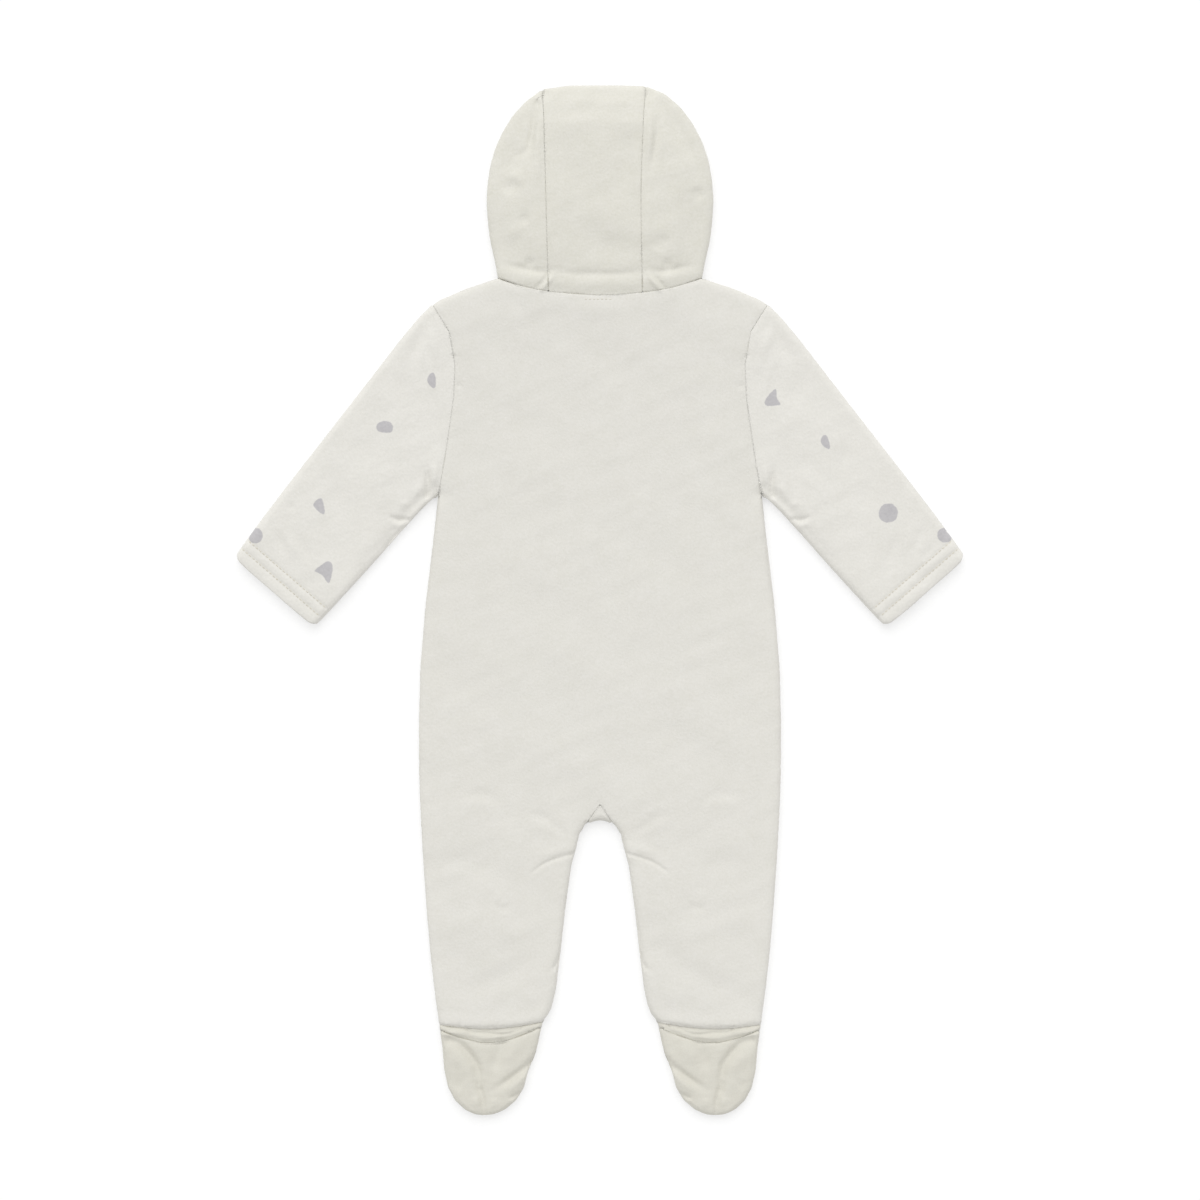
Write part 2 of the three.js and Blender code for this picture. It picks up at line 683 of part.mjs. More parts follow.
/** Rows of a foot's layer, from a line across the ankle to the toe. */
function footRows({ start, side, level }) {
  const startY = start(0.5)[1];
  const sharesOf = (width) => {
    const insets = EDGE_INSETS.map((inset, order) => Math.min(inset / width, EDGE_SHARE * order));
    return [...insets, ...FRONT_COLUMNS, ...insets.toReversed().map((inset) => 1 - inset)];
  };
  const rowAt = (rise) => {
    const y = TOE.tip + rise;
    const bend = Math.max(0, (y - TOE.innerBase) / (startY - TOE.innerBase));
    const [inner, outer] = footEdges(y);
    return sharesOf(outer - inner).map((share) => {
      const bentY = y + (start(share)[1] - startY) * bend;
      const [inX, outX] = footEdges(bentY);
      return place(lerp(inX, outX, share), bentY, side, SEAM, level);
    });
  };
  const tip = sharesOf(2 * TOE.flat).map((share) => {
    const x = TOE.x + lerp(-TOE.flat, TOE.flat, share);
    const [half, base] = x > TOE.x ? [TOE.outer, TOE.outerBase] : [TOE.inner, TOE.innerBase];
    const y = base - (base - TOE.tip) * Math.sqrt(1 - ((x - TOE.x) / half) ** 2);
    return place(x, y, side, SEAM, level);
  });
  const rises = [startY - TOE.tip, ...FOOT_RISES, ...EDGE_INSETS.slice(1).toReversed()];
  return [...rises.filter((rise) => rise <= startY - TOE.tip).map(rowAt), tip];
}

/** A line across the foot at `depth(share)` below the leg hem. */
function acrossFoot(depth) {
  return (share) => {
    const y = legHem(share) - depth(share);
    const x = lerp(innerLeg(y), bodySide(y), share);
    return [x, y];
  };
}

const heelDepth = (share) => lerp(HEEL.ends, HEEL.middle, Math.sin(Math.PI * share));

/** Heels and soles on top, uppers below. */
function makeFeet() {
  const columns = acrossShares(HEEL.width, FRONT_COLUMNS);
  const heelRows = evenSteps(3).map((down) => columns.map((share) => {
    const depth = lerp(1.5 * CURVED_SEAM, heelDepth(share), down);
    const [x, y] = acrossFoot(() => depth)(share);
    return place(x, y, 1, SEAM, FOOT_DROP.crown * Math.sin(Math.PI * down) - FOOT_DROP.heel);
  }));
  const sole = footRows({
    start: acrossFoot((share) => heelDepth(share) + 2 * CURVED_SEAM),
    side: 1,
    level: -FOOT_DROP.sole,
  });
  const upper = footRows({
    start: (share) => {
      const y = FRONT_HEM - CURVED_SEAM;
      return [lerp(innerLeg(y), bodySide(y), share), y];
    },
    side: -1,
    level: 0,
  });
  return [
    ...pair("heel", footCloth, heelRows),
    ...pair("sole", footCloth, sole),
    ...pair("foot_top", footCloth, upper),
  ];
}

// ---------------------------------------------------------------- zip

/** A box between two corners. */
function boxBetween([x0, y0, z0], [x1, y1, z1]) {
  const geometry = new THREE.BoxGeometry(x1 - x0, y1 - y0, z1 - z0);
  geometry.translate((x0 + x1) / 2, (y0 + y1) / 2, (z0 + z1) / 2);
  return geometry;
}

/** A closed geometry as a solid that can be joined to others. */
function toSolid(geometry) {
  const bare = geometry.clone();
  bare.deleteAttribute("normal");
  bare.deleteAttribute("uv");
  const merged = mergeVertices(bare, 1e-4);
  return new wasm.Manifold(new wasm.Mesh({
    numProp: 3,
    vertProperties: new Float32Array(merged.attributes.position.array),
    triVerts: new Uint32Array(merged.index.array),
  }));
}

/** Several closed geometries joined to one mesh. */
function joined(name, material, geometries) {
  const solid = geometries.map(toSolid).reduce((sum, next) => sum.add(next));
  const { vertProperties, triVerts } = solid.getMesh();
  const geometry = new THREE.BufferGeometry();
  geometry.setAttribute("position", new THREE.BufferAttribute(vertProperties, 3));
  geometry.setIndex(new THREE.BufferAttribute(triVerts, 1));
  const mesh = new THREE.Mesh(geometry, material);
  mesh.name = name;
  return mesh;
}

const block = (name, material, low, high) => joined(name, material, [boxBetween(low, high)]);

const pullAxisY = SLIDER.head - SLIDER.length / 2;

/** The slider: two plates on a post, and the bridge that its pull hangs on. */
function makeSlider() {
  const [back, front] = [SLIDER.head - SLIDER.length, SLIDER.head];
  const half = SLIDER.width / 2;
  const post = [front - POST.back, front - POST.front];
  const { halfWidth, halfLength, bar, low } = BRIDGE;
  return joined("zip_slider", metal, [
    boxBetween([-half, back, SLIDER.low], [half, front, SLIDER.low + SLIDER.plate]),
    boxBetween([-half, back, SLIDER.high - SLIDER.plate], [half, front, SLIDER.high]),
    boxBetween([-POST.halfWidth, post[0], SLIDER.low], [POST.halfWidth, post[1], SLIDER.high]),
    boxBetween([-halfWidth, pullAxisY - halfLength, low], [halfWidth, pullAxisY + halfLength, low + bar]),
    ...[-halfLength, halfLength - bar].map((y) => boxBetween(
      [-halfWidth, pullAxisY + y, low], [halfWidth, pullAxisY + y + bar, SLIDER.low + SLIDER.plate / 2])),
  ]);
}

/** The pull: a plain rounded tab with a square eye, whose end bar lies in the bridge. */
function makePull() {
  const outer = PULL.eye + PULL.arm;
  const half = PULL.bar / 2;
  const round = pullAxisY - PULL.length + PULL.halfTip;
  const tip = new THREE.Shape();
  tip.moveTo(-outer, pullAxisY + half);
  tip.lineTo(-PULL.halfTip, round);
  tip.absarc(0, round, PULL.halfTip, Math.PI, 2 * Math.PI, false);
  tip.lineTo(outer, pullAxisY + half);
  const eye = new THREE.Path();
  eye.moveTo(-PULL.eye, pullAxisY - half);
  eye.lineTo(-PULL.eye, pullAxisY - PULL.reach);
  eye.lineTo(PULL.eye, pullAxisY - PULL.reach);
  eye.lineTo(PULL.eye, pullAxisY - half);
  tip.holes.push(eye);
  const tab = new THREE.ExtrudeGeometry(tip, { depth: PULL.bar, bevelEnabled: false, curveSegments: 8 });
  tab.translate(0, 0, PULL.axisZ - half);
  return joined("zip_pull", metal, [tab]);
}

/** The zip: two tapes beside the closed teeth, a stop, the slider and its pull. */
function makeZip() {
  const outer = ZIP.halfWidth - SEAM;
  const bottom = ZIP.bottom + 1;
  const stopEnd = bottom + STOP.start + STOP.length;
  const teethTop = SLIDER.head - POST.back - SEAM;
  return [
    block("zip_tape_left", tapeCloth, [-outer, bottom, TAPE.low], [-TAPE.inner, ZIP.top, TAPE.high]),
    block("zip_tape_right", tapeCloth, [TAPE.inner, bottom, TAPE.low], [outer, ZIP.top, TAPE.high]),
    block("zip_teeth", teethPlastic,
      [-TEETH.halfWidth, stopEnd + SEAM, TEETH.low], [TEETH.halfWidth, teethTop, TEETH.high]),
    block("zip_stop", metal,
      [-TEETH.halfWidth, bottom + STOP.start, TEETH.low], [TEETH.halfWidth, stopEnd, TEETH.high]),
    makeSlider(),
    makePull(),
  ];
}

// ---------------------------------------------------------------- the pramsuit

const pramsuit = new THREE.Group();
pramsuit.name = "pramsuit";
pramsuit.add(
  makeBack(),
  ...makeFronts(),
  makeGusset(),
  ...makeSleeves(),
  makeHoodCentre(),
  ...makeHoodSides(),
  ...makeFeet(),
  ...makeZip(),
);

export default pramsuit;
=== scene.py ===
"""Looks of a hooded, footed baby pramsuit in plush velour, laid face down on a pale floor."""

import logging
import math
from dataclasses import dataclass, field
from enum import Enum

import bmesh
import bpy
import numpy as np
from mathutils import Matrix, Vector
from mathutils.bvhtree import BVHTree
from mathutils.kdtree import KDTree


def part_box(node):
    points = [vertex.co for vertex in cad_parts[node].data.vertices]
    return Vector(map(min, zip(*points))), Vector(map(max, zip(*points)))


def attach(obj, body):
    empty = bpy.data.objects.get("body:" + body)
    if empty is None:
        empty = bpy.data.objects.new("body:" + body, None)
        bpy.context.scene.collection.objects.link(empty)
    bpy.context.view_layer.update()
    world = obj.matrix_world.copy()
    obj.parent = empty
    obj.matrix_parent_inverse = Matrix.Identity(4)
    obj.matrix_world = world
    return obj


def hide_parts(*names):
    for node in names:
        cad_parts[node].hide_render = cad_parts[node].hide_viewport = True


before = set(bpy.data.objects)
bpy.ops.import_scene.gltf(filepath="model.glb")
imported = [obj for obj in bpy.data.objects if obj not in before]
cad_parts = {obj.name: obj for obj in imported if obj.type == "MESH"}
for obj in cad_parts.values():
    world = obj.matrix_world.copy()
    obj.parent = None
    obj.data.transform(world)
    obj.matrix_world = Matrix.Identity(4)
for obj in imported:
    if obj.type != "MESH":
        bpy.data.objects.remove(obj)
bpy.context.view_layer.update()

LOG = logging.getLogger("pramsuit")
MM = 0.001
GARMENT = "garment"
MID_HEIGHT = 4.4 * MM  # of the side seams over the floor
LAID_TOP = 8.8 * MM  # of the two laid layers

Points = np.ndarray
Node = bpy.types.ShaderNode


# ------------------------------------------------------------------ small helpers


def linear(code: str) -> tuple[float, float, float, float]:
    """Turns an sRGB hex colour into linear RGBA.

    Args:
        code: Six hex digits, such as "E1DFD7".

    Returns:
        The linear colour, opaque.
    """
    values = [int(code[place : place + 2], 16) / 255 for place in (0, 2, 4)]
    toned = [v / 12.92 if v <= 0.04045 else ((v + 0.055) / 1.055) ** 2.4 for v in values]
    return (*toned, 1.0)


def smooth_step(values: Points, low: float, high: float) -> Points:
    """Eases values from 0 at low to 1 at high."""
    share = np.clip((values - low) / (high - low), 0, 1)
    return share * share * (3 - 2 * share)


def add_node(tree: bpy.types.NodeTree, kind: str, settings: dict | None = None, **inputs: object) -> Node:
    """Adds a shader node with its settings and inputs.

    Args:
        tree: The material's node tree.
        kind: The node's type, such as "ShaderNodeTexNoise".
        settings: Properties of the node itself.
        **inputs: Socket names, with underscores for spaces, or in_N for the socket at place N.
            A value is set, and an output socket is linked.

    Returns:
        The new node.
    """
    node = tree.nodes.new(kind)
    for name, value in (settings or {}).items():
        setattr(node, name, value)
    for name, value in inputs.items():
        place = int(name[3:]) if name.startswith("in_") else name.replace("_", " ")
        if isinstance(value, bpy.types.NodeSocket):
            tree.links.new(value, node.inputs[place])
        else:
            node.inputs[place].default_value = value
    return node


def new_material(name: str) -> tuple[bpy.types.Material, bpy.types.NodeTree]:
    """Makes a material with an empty node tree.

    Args:
        name: The material's name.

    Returns:
        The material and its node tree.
    """
    material = bpy.data.materials.new(name)
    material.use_nodes = True
    material.node_tree.nodes.clear()
    return material, material.node_tree


def dress(piece: bpy.types.Object, material: bpy.types.Material) -> None:
    """Gives a piece one material.

    Args:
        piece: The piece.
        material: Its material.
    """
    piece.data.materials.clear()
    piece.data.materials.append(material)


def mesh_object(name: str, vertices: Points, faces: list) -> bpy.types.Object:
    """Makes a smooth-shaded mesh object from points and faces.

    Args:
        name: The object's name.
        vertices: Rows of x, y and z.
        faces: Lists of point numbers.

    Returns:
        The object, in the scene.
    """
    mesh = bpy.data.meshes.new(name)
    mesh.from_pydata([tuple(point) for point in vertices], [], faces)
    mesh.validate()
    mesh.shade_smooth()
    piece = bpy.data.objects.new(name, mesh)
    bpy.context.scene.collection.objects.link(piece)
    return piece


def edges_of(triangles: Points, count: int) -> tuple[Points, Points]:
    """Lists the edges of a mesh once each.

    Args:
        triangles: Rows of three point numbers.
        count: How many points there are.

    Returns:
        Rows of two point numbers, and the numbers of each triangle's three edges.
    """
    ends = np.sort(triangles[:, [0, 1, 1, 2, 2, 0]].reshape(-1, 2), axis=1).astype(np.int64)
    keys, which = np.unique(ends[:, 0] * count + ends[:, 1], return_inverse=True)
    return np.stack(np.divmod(keys, count), 1), which.reshape(-1, 3)


def halved(points: Points, triangles: Points, limits: Points) -> tuple[Points, Points, bool]:
    """Splits each triangle's edges that are longer than its limit.

    Args:
        points: Rows of x, y and z.
        triangles: Rows of three point numbers.
        limits: The longest edge that each triangle may keep.

    Returns:
        The new points and triangles, and whether anything was split.
    """
    edges, which = edges_of(triangles, len(points))
    lengths = np.linalg.norm(points[edges[:, 0]] - points[edges[:, 1]], axis=1)
    longest = np.full(len(edges), np.inf)
    np.minimum.at(longest, which.ravel(), np.repeat(limits, 3))
    marked = lengths > longest
    if not marked.any():
        return points, triangles, False
    middle = np.full(len(edges), -1)
    middle[marked] = len(points) + np.arange(int(marked.sum()))
    points = np.concatenate([points, points[edges[marked]].mean(axis=1)])
    cuts = middle[which]
    made = []
    for turn in range(3):  # every pattern of cut edges is one of these, turned round
        corner = np.roll(triangles, -turn, axis=1)
        cut = np.roll(cuts, -turn, axis=1)
        a, b, c = corner.T
        ab, bc, ca = cut.T
        one = (ab >= 0) & (bc < 0) & (ca < 0)
        two = (ab >= 0) & (bc >= 0) & (ca < 0)
        made += [np.stack(part, 1)[one] for part in ((a, ab, c), (ab, b, c))]
        made += [np.stack(part, 1)[two] for part in ((ab, b, bc), (a, ab, bc), (a, bc, c))]
    a, b, c = triangles.T
    ab, bc, ca = cuts.T
    every = (ab >= 0) & (bc >= 0) & (ca >= 0)
    made += [np.stack(part, 1)[every] for part in ((a, ab, ca), (ab, b, bc), (ca, bc, c), (ab, bc, ca))]
    made.append(triangles[(cuts < 0).all(axis=1)])
    return points, np.concatenate(made), True


def waves(points: Points, breadth: float, height: float) -> Points:
    """Soft unevenness: a sum of seeded waves, about as broad and as high as given.

    Args:
        points: Rows of x, y and z.
        breadth: Millimetres from one crest to the next.
        height: Millimetres.

    Returns:
        One height for each point, in metres.
    """
    chance = np.random.default_rng(int(breadth * 10))
    total = np.zeros(len(points))
    count = 14
    for _ in range(count):
        heading = chance.uniform(0, math.tau)
        length = breadth * MM * chance.uniform(0.7, 1.6)
        phase = chance.uniform(0, math.tau)
        passed = points[:, 0] * math.cos(heading) + points[:, 1] * math.sin(heading)
        total += np.cos(passed * math.tau / length + phase)
    return total * height * MM / math.sqrt(count / 2)


def point_normals(points: Points, triangles: Points) -> Points:
    """The shell's outward direction at each point.

    Args:
        points: Rows of x, y and z.
        triangles: Rows of three point numbers.

    Returns:
        One unit vector for each point.
    """
    first, second, third = (points[triangles[:, corner]] for corner in range(3))
    normals = np.cross(second - first, third - first)
    total = np.zeros_like(points)
    for corner in range(3):
        for axis in range(3):
            total[:, axis] += np.bincount(triangles[:, corner], normals[:, axis], len(points))
    return total / np.maximum(np.linalg.norm(total, axis=1), 1e-15)[:, None]


# ------------------------------------------------------------------ finishes


@dataclass(frozen=True)
class Velour:
    """Plush velour: a cut pile of fine polyester on a knitted ground, brushed in soft patches."""

    name: str
    light: str  # where the pile lies away
    deep: str  # where the pile stands up
    pile_mm: float = 1.7  # one clump of fibres, drawn about twice as coarse as real so that it shows
    nap_mm: float = 13.0  # one brushed patch
    relief: float = 0.42
    print_light: str | None = None
    print_deep: str | None = None

    def build(self) -> bpy.types.Material:
        """Builds the material.

        Returns:
            A rough cloth with a faint sheen at grazing angles, and its print if it has one.
        """
        material, tree = new_material(self.name)
        place = add_node(tree, "ShaderNodeTexCoord").outputs["Object"]
        nap = add_node(tree, "ShaderNodeTexNoise", Vector=place, Scale=1 / (self.nap_mm * MM),
                       Detail=3.0, Roughness=0.55)
        pile = add_node(tree, "ShaderNodeTexNoise", Vector=place, Scale=1 / (self.pile_mm * MM),
                        Detail=2.0, Roughness=0.6)
        mixed = add_node(tree, "ShaderNodeMath", {"operation": "MULTIPLY_ADD"},
                         in_0=nap.outputs["Fac"], in_1=0.5, in_2=pile.outputs["Fac"])
        tone = add_node(tree, "ShaderNodeMapRange", Value=mixed.outputs[0], From_Min=0.45, From_Max=1.05)
        colour = add_node(tree, "ShaderNodeMix", {"data_type": "RGBA"}, in_0=tone.outputs[0],
                          in_6=linear(self.deep), in_7=linear(self.light)).outputs[2]
        if self.print_light:
            colour = self._printed(tree, place, colour, tone.outputs[0])
        bump = add_node(tree, "ShaderNodeBump", Height=pile.outputs["Fac"], Strength=self.relief,
                        Distance=0.6 * MM)
        shader = add_node(tree, "ShaderNodeBsdfPrincipled", Base_Color=colour, Roughness=0.92,
                          Sheen_Weight=0.85, Sheen_Roughness=0.3, Normal=bump.outputs[0])
        shader.inputs["Specular IOR Level"].default_value = 0.15
        add_node(tree, "ShaderNodeOutputMaterial", Surface=shader.outputs[0])
        return material

    def _printed(self, tree: bpy.types.NodeTree, place: bpy.types.NodeSocket,
                 ground: bpy.types.NodeSocket, tone: bpy.types.NodeSocket) -> bpy.types.NodeSocket:
        """Lays the printed pebbles over the ground colour, soft where the pile frays their edges.

        Args:
            tree: The material's node tree.
            place: Coordinates in metres.
            ground: The cloth's colour.
            tone: How light the pile lies, from 0 to 1.

        Returns:
            The colour with its print.
        """
        edge = add_node(tree, "ShaderNodeAttribute", {"attribute_name": Print.ATTRIBUTE})
        fray = add_node(tree, "ShaderNodeTexNoise", Vector=place, Scale=1 / (2.2 * MM), Detail=2.0)
        moved = add_node(tree, "ShaderNodeMath", {"operation": "MULTIPLY_ADD"},
                         in_0=fray.outputs["Fac"], in_1=0.9 * MM, in_2=edge.outputs["Fac"])
        mask = add_node(tree, "ShaderNodeMapRange", {"interpolation_type": "SMOOTHSTEP"},
                        Value=moved.outputs[0], From_Min=0.1 * MM, From_Max=1.0 * MM)
        ink = add_node(tree, "ShaderNodeMix", {"data_type": "RGBA"}, in_0=tone,
                       in_6=linear(self.print_deep), in_7=linear(self.print_light))
        return add_node(tree, "ShaderNodeMix", {"data_type": "RGBA"}, in_0=mask.outputs[0],
                        in_6=ground, in_7=ink.outputs[2]).outputs[2]


@dataclass(frozen=True)
class PlainFinish:
    """A smooth finish with a fine grain, such as moulded nylon, plated zinc or woven tape."""

    name: str
    colour: str
    grain_mm: float
    roughness: float
    metallic: float = 0.0
    relief: float = 0.2

    def build(self) -> bpy.types.Material:
        """Builds the material, with its grain in the roughness and in the bump.

        Returns:
            The material.
        """
        material, tree = new_material(self.name)
        place = add_node(tree, "ShaderNodeTexCoord").outputs["Object"]
        grain = add_node(tree, "ShaderNodeTexNoise", Vector=place, Scale=1 / (self.grain_mm * MM), Detail=3.0)
        rough = add_node(tree, "ShaderNodeMapRange", Value=grain.outputs["Fac"],
                         To_Min=self.roughness - 0.08, To_Max=self.roughness + 0.08)
        bump = add_node(tree, "ShaderNodeBump", Height=grain.outputs["Fac"], Strength=self.relief,
                        Distance=0.1 * MM)
        shader = add_node(tree, "ShaderNodeBsdfPrincipled", Base_Color=linear(self.colour),
                          Metallic=self.metallic, Roughness=rough.outputs[0], Normal=bump.outputs[0])
        add_node(tree, "ShaderNodeOutputMaterial", Surface=shader.outputs[0])
        return material


# warm cream pile that scatters light evenly, so folds show only as faint tone
BODY_VELOUR = Velour("polyester_velour_brushed", light="E5E3DD", deep="DEDCD4")
HOOD_VELOUR = Velour("polyester_velour_brushed_hood", light="E4E2DA", deep="DCDACF")
# the same pile, a touch whiter, with grey pebbles that the printer's ink leaves soft
PRINTED_VELOUR = Velour("polyester_velour_printed", light="E9E7E1", deep="E1DFD8",
                        print_light="C6C4C5", print_deep="BAB8BA")
# shorter, flatter pile on the feet, which reads a little darker and yellower
FOOT_FLEECE = Velour("polyester_fleece_shorn", light="DDDBD1", deep="D6D3C8", pile_mm=1.0,
                     nap_mm=10.0, relief=0.4)
ZIP_TAPE = PlainFinish("polyester_tape_woven", "E6E4DD", grain_mm=0.7, roughness=0.85, relief=0.5)
ZIP_TEETH = PlainFinish("nylon_moulded", "E9E7E1", grain_mm=0.4, roughness=0.4)
ZIP_METAL = PlainFinish("zinc_nickel_plated", "C9C9C6", grain_mm=0.5, roughness=0.3, metallic=1.0)
THREAD = PlainFinish("polyester_thread_spun", "DAD5C6", grain_mm=0.3, roughness=0.7)


# ------------------------------------------------------------------ folds


class Face(Enum):
    """The face of the laid garment that a fold shapes."""

    TOP = "top"
    UNDER = "under"


@dataclass(frozen=True)
class Fold:
    """A soft ridge (height over 0) or trough (under 0) along a route, in millimetres, seen from above."""

    route: tuple[tuple[float, float], ...]
    width: float  # half the breadth of its slope
    height: float
    start: float = 0.1  # share of its height at the start and the end of its route
    end: float = 0.1
    face: Face = Face.TOP

    STEPS = 6  # straight stretches between two points of the route
    REACH = 2.6  # widths beyond which it is level

    def mirrored(self, height: float) -> "Fold":
        """The same fold on the other side, with its height scaled."""
        route = tuple((-x, y) for x, y in self.route)
        return Fold(route, self.width, self.height * height, self.start, self.end, self.face)

    def line(self) -> Points:
        """Its route as a smooth line through its points, in metres.

        Returns:
            Rows of x and y.
        """
        given = np.array(self.route) * MM
        ends = np.concatenate([2 * given[:1] - given[1:2], given, 2 * given[-1:] - given[-2:-1]])
        line = [given[0]]
        for before, here, after, beyond in zip(ends, ends[1:], ends[2:], ends[3:]):
            for step in range(1, self.STEPS + 1):
                t = step / self.STEPS
                line.append(0.5 * (2 * here + (after - before) * t
                                   + (2 * before - 5 * here + 4 * after - beyond) * t**2
                                   + (3 * here - before - 3 * after + beyond) * t**3))
        return np.array(line)

    def away(self, plan: Points) -> tuple[Points, Points]:
        """Each point's distance from the line in widths, and its share along it.

        Args:
            plan: Points as rows of x and y, in metres.

        Returns:
            The distances and the shares.
        """
        line = self.line()
        lengths = np.hypot(*(line[1:] - line[:-1]).T)
        passed = np.concatenate([[0.0], np.cumsum(lengths)])
        nearest = np.full(len(plan), np.inf)
        along = np.zeros(len(plan))
        for start, end, length, before in zip(line, line[1:], lengths, passed):
            way = (end - start) / length
            reach = np.clip((plan - start) @ way, 0, length)
            distance = np.hypot(*(plan - start - reach[:, None] * way).T)
            closer = distance < nearest
            nearest = np.where(closer, distance, nearest)
            along = np.where(closer, (before + reach) / passed[-1], along)
        return nearest / (self.width * MM), along

    def near(self, plan: Points) -> Points:
        """Numbers of the points that it can reach.

        Args:
            plan: Points as rows of x and y, in metres.

        Returns:
            The numbers, in order.
        """
        margin = self.REACH * self.width * MM
        low, high = self.line().min(axis=0) - margin, self.line().max(axis=0) + margin
        return np.nonzero(((plan > low) & (plan < high)).all(axis=1))[0]

    def rise(self, plan: Points) -> Points:
        """How far it moves points, in metres.

        Args:
            plan: Points as rows of x and y, in metres.

        Returns:
            One height for each point.
        """
        away, along = self.away(plan)
        before = self.start + (1 - self.start) * smooth_step(along, 0, 0.4)
        after = self.end + (1 - self.end) * smooth_step(1 - along, 0, 0.4)
        return self.height * MM * np.minimum(before, after) * np.exp(-away * away)


def both(fold: Fold, other: float = 1.0) -> list[Fold]:
    """A fold and its mirror image, which is `other` times as high."""
    return [fold, fold.mirrored(other)]


# one row a fold: route, half width, height, share of the height at the start and the end
NECK_ROLL = [
    Fold(((-70, 235), (-44, 230), (-31, 229), (0, 227.5), (31, 229), (44, 230), (68, 235)),
         5.0, 1.2, 0.5, 0.5),
    Fold(((-66, 240.5), (-44, 236.5), (-36, 238)), 2.6, -1.3, 0.4, 0.3),
    Fold(((-34, 236.5), (-18, 235), (0, 234.5), (18, 235), (32, 236.5)), 2.6, -1.0, 0.3, 0.3),
    Fold(((36, 238), (46, 236.5), (64, 240.5)), 2.6, -1.3, 0.3, 0.4),
    Fold(((-33, 234.5), (-36.5, 229), (-42, 223)), 1.7, 1.2, 0.3, 0.7),
    Fold(((-37.5, 235), (-40.5, 230), (-45.5, 224.5)), 1.8, -1.1, 0.3, 0.6),
    Fold(((34.5, 234.5), (38, 229), (43, 223)), 1.7, 1.1, 0.3, 0.7),
    Fold(((39, 235), (42, 230), (47, 224.5)), 1.8, -1.0, 0.3, 0.6),
]
HOOD_FOLDS = [
    Fold(((-45.5, 357), (-49, 334), (-52, 324), (-59, 319.5)), 2.8, -2.4, 0.7, 0.2),
    Fold(((-45.2, 353), (-45.4, 320), (-44.5, 289)), 2.6, 1.1, 0.3, 0.1),
    Fold(((-54, 330), (-61, 317), (-64, 303)), 7.5, -1.9, 0.3, 0.2),
    Fold(((-70, 292.5), (-64, 297), (-57, 301)), 5.0, -1.6),
    Fold(((-62, 310), (-56, 296)), 5.0, 0.8),
    Fold(((-58, 277), (-51, 270)), 4.2, -1.2),
    Fold(((-66, 268), (-58, 260)), 7.0, 0.6),
    Fold(((-55, 244), (-46, 241)), 3.4, -1.3),
    Fold(((26, 332), (27.5, 305), (28.5, 280)), 3.4, 0.8),
    Fold(((36.5, 351), (36, 332), (34.5, 312)), 2.8, 1.1, 0.3, 0.1),
    Fold(((41.5, 345), (39.5, 326), (36.5, 308)), 2.6, -1.5, 0.3, 0.2),
    Fold(((34.5, 300), (34, 270), (35, 246)), 3.2, 0.8),
    Fold(((47, 357), (59, 333), (69, 310)), 5.6, -2.0, 0.5, 0.2),
    Fold(((58, 318), (61, 290)), 7.0, 0.6),
    Fold(((68, 298), (73, 287)), 4.0, -1.2),
    Fold(((48, 264), (39, 250)), 5.4, -1.3),
    Fold(((44, 243), (54, 240)), 4.0, -1.4),
    Fold(((14, 346), (18, 312), (15, 283)), 7.5, -1.5),
    Fold(((-6, 330), (-4, 290)), 9.0, 0.6),
    Fold(((-20, 268), (4, 257), (27, 252)), 11.0, -1.9, 0.3, 0.3),
    Fold(((-38, 357), (0, 359), (34, 357)), 5.0, 0.7, 0.5, 0.5),
    Fold(((-46, 363.5), (-35, 366.5)), 3.6, -1.3),
    Fold(((31, 366.5), (41, 363.5)), 3.6, -1.3),
    Fold(((-10, 364), (10, 364)), 5.0, -0.6),
]
SHOULDER_FOLDS = [
    Fold(((-40, 212), (0, 209), (42, 212)), 6.0, 0.6, 0.3, 0.3),
    *both(Fold(((-126.5, 200), (-131, 186), (-137.5, 169)), 4.6, -1.4, 0.4, 0.1), 0.8),
    *both(Fold(((-123.5, 199), (-120.5, 186), (-116.5, 171)), 3.6, 0.9), 0.9),
    *both(Fold(((-126, 180), (-121.5, 161), (-116, 142)), 3.6, 0.9), 0.8),
    *both(Fold(((-107.5, 178), (-103.5, 173.5)), 1.6, -0.7)),
    *both(Fold(((-104.5, 153), (-99, 156)), 2.2, -0.5)),
    *both(Fold(((-150, 164), (-138, 140)), 8.0, -0.6)),
]
UNDERARM_FOLDS = [
    *both(Fold(((-125, 95), (-124, 84), (-124.5, 75)), 2.1, -2.0, 0.2, 0.9), 0.9),
    *both(Fold(((-119.5, 100), (-119, 90), (-120, 81)), 2.4, 1.3), 0.8),
    *both(Fold(((-129, 84), (-133, 74)), 2.6, 0.9, 0.2, 0.6)),
    *both(Fold(((-118, 79), (-129, 72), (-139, 61), (-153, 42), (-166, 28), (-180, 8)),
               5.0, -1.8, 1.0, 0.2), 0.9),
    *both(Fold(((-153, 61), (-146, 58), (-138.5, 58)), 1.8, -1.4, 0.1, 0.8), 0.8),
    *both(Fold(((-151, 56), (-146, 53.5), (-141, 54.5)), 2.2, 0.9)),
    *both(Fold(((-144, 70), (-136, 68)), 2.4, 0.7)),
    *both(Fold(((-116, 78), (-107, 70)), 5.0, -0.5)),
]
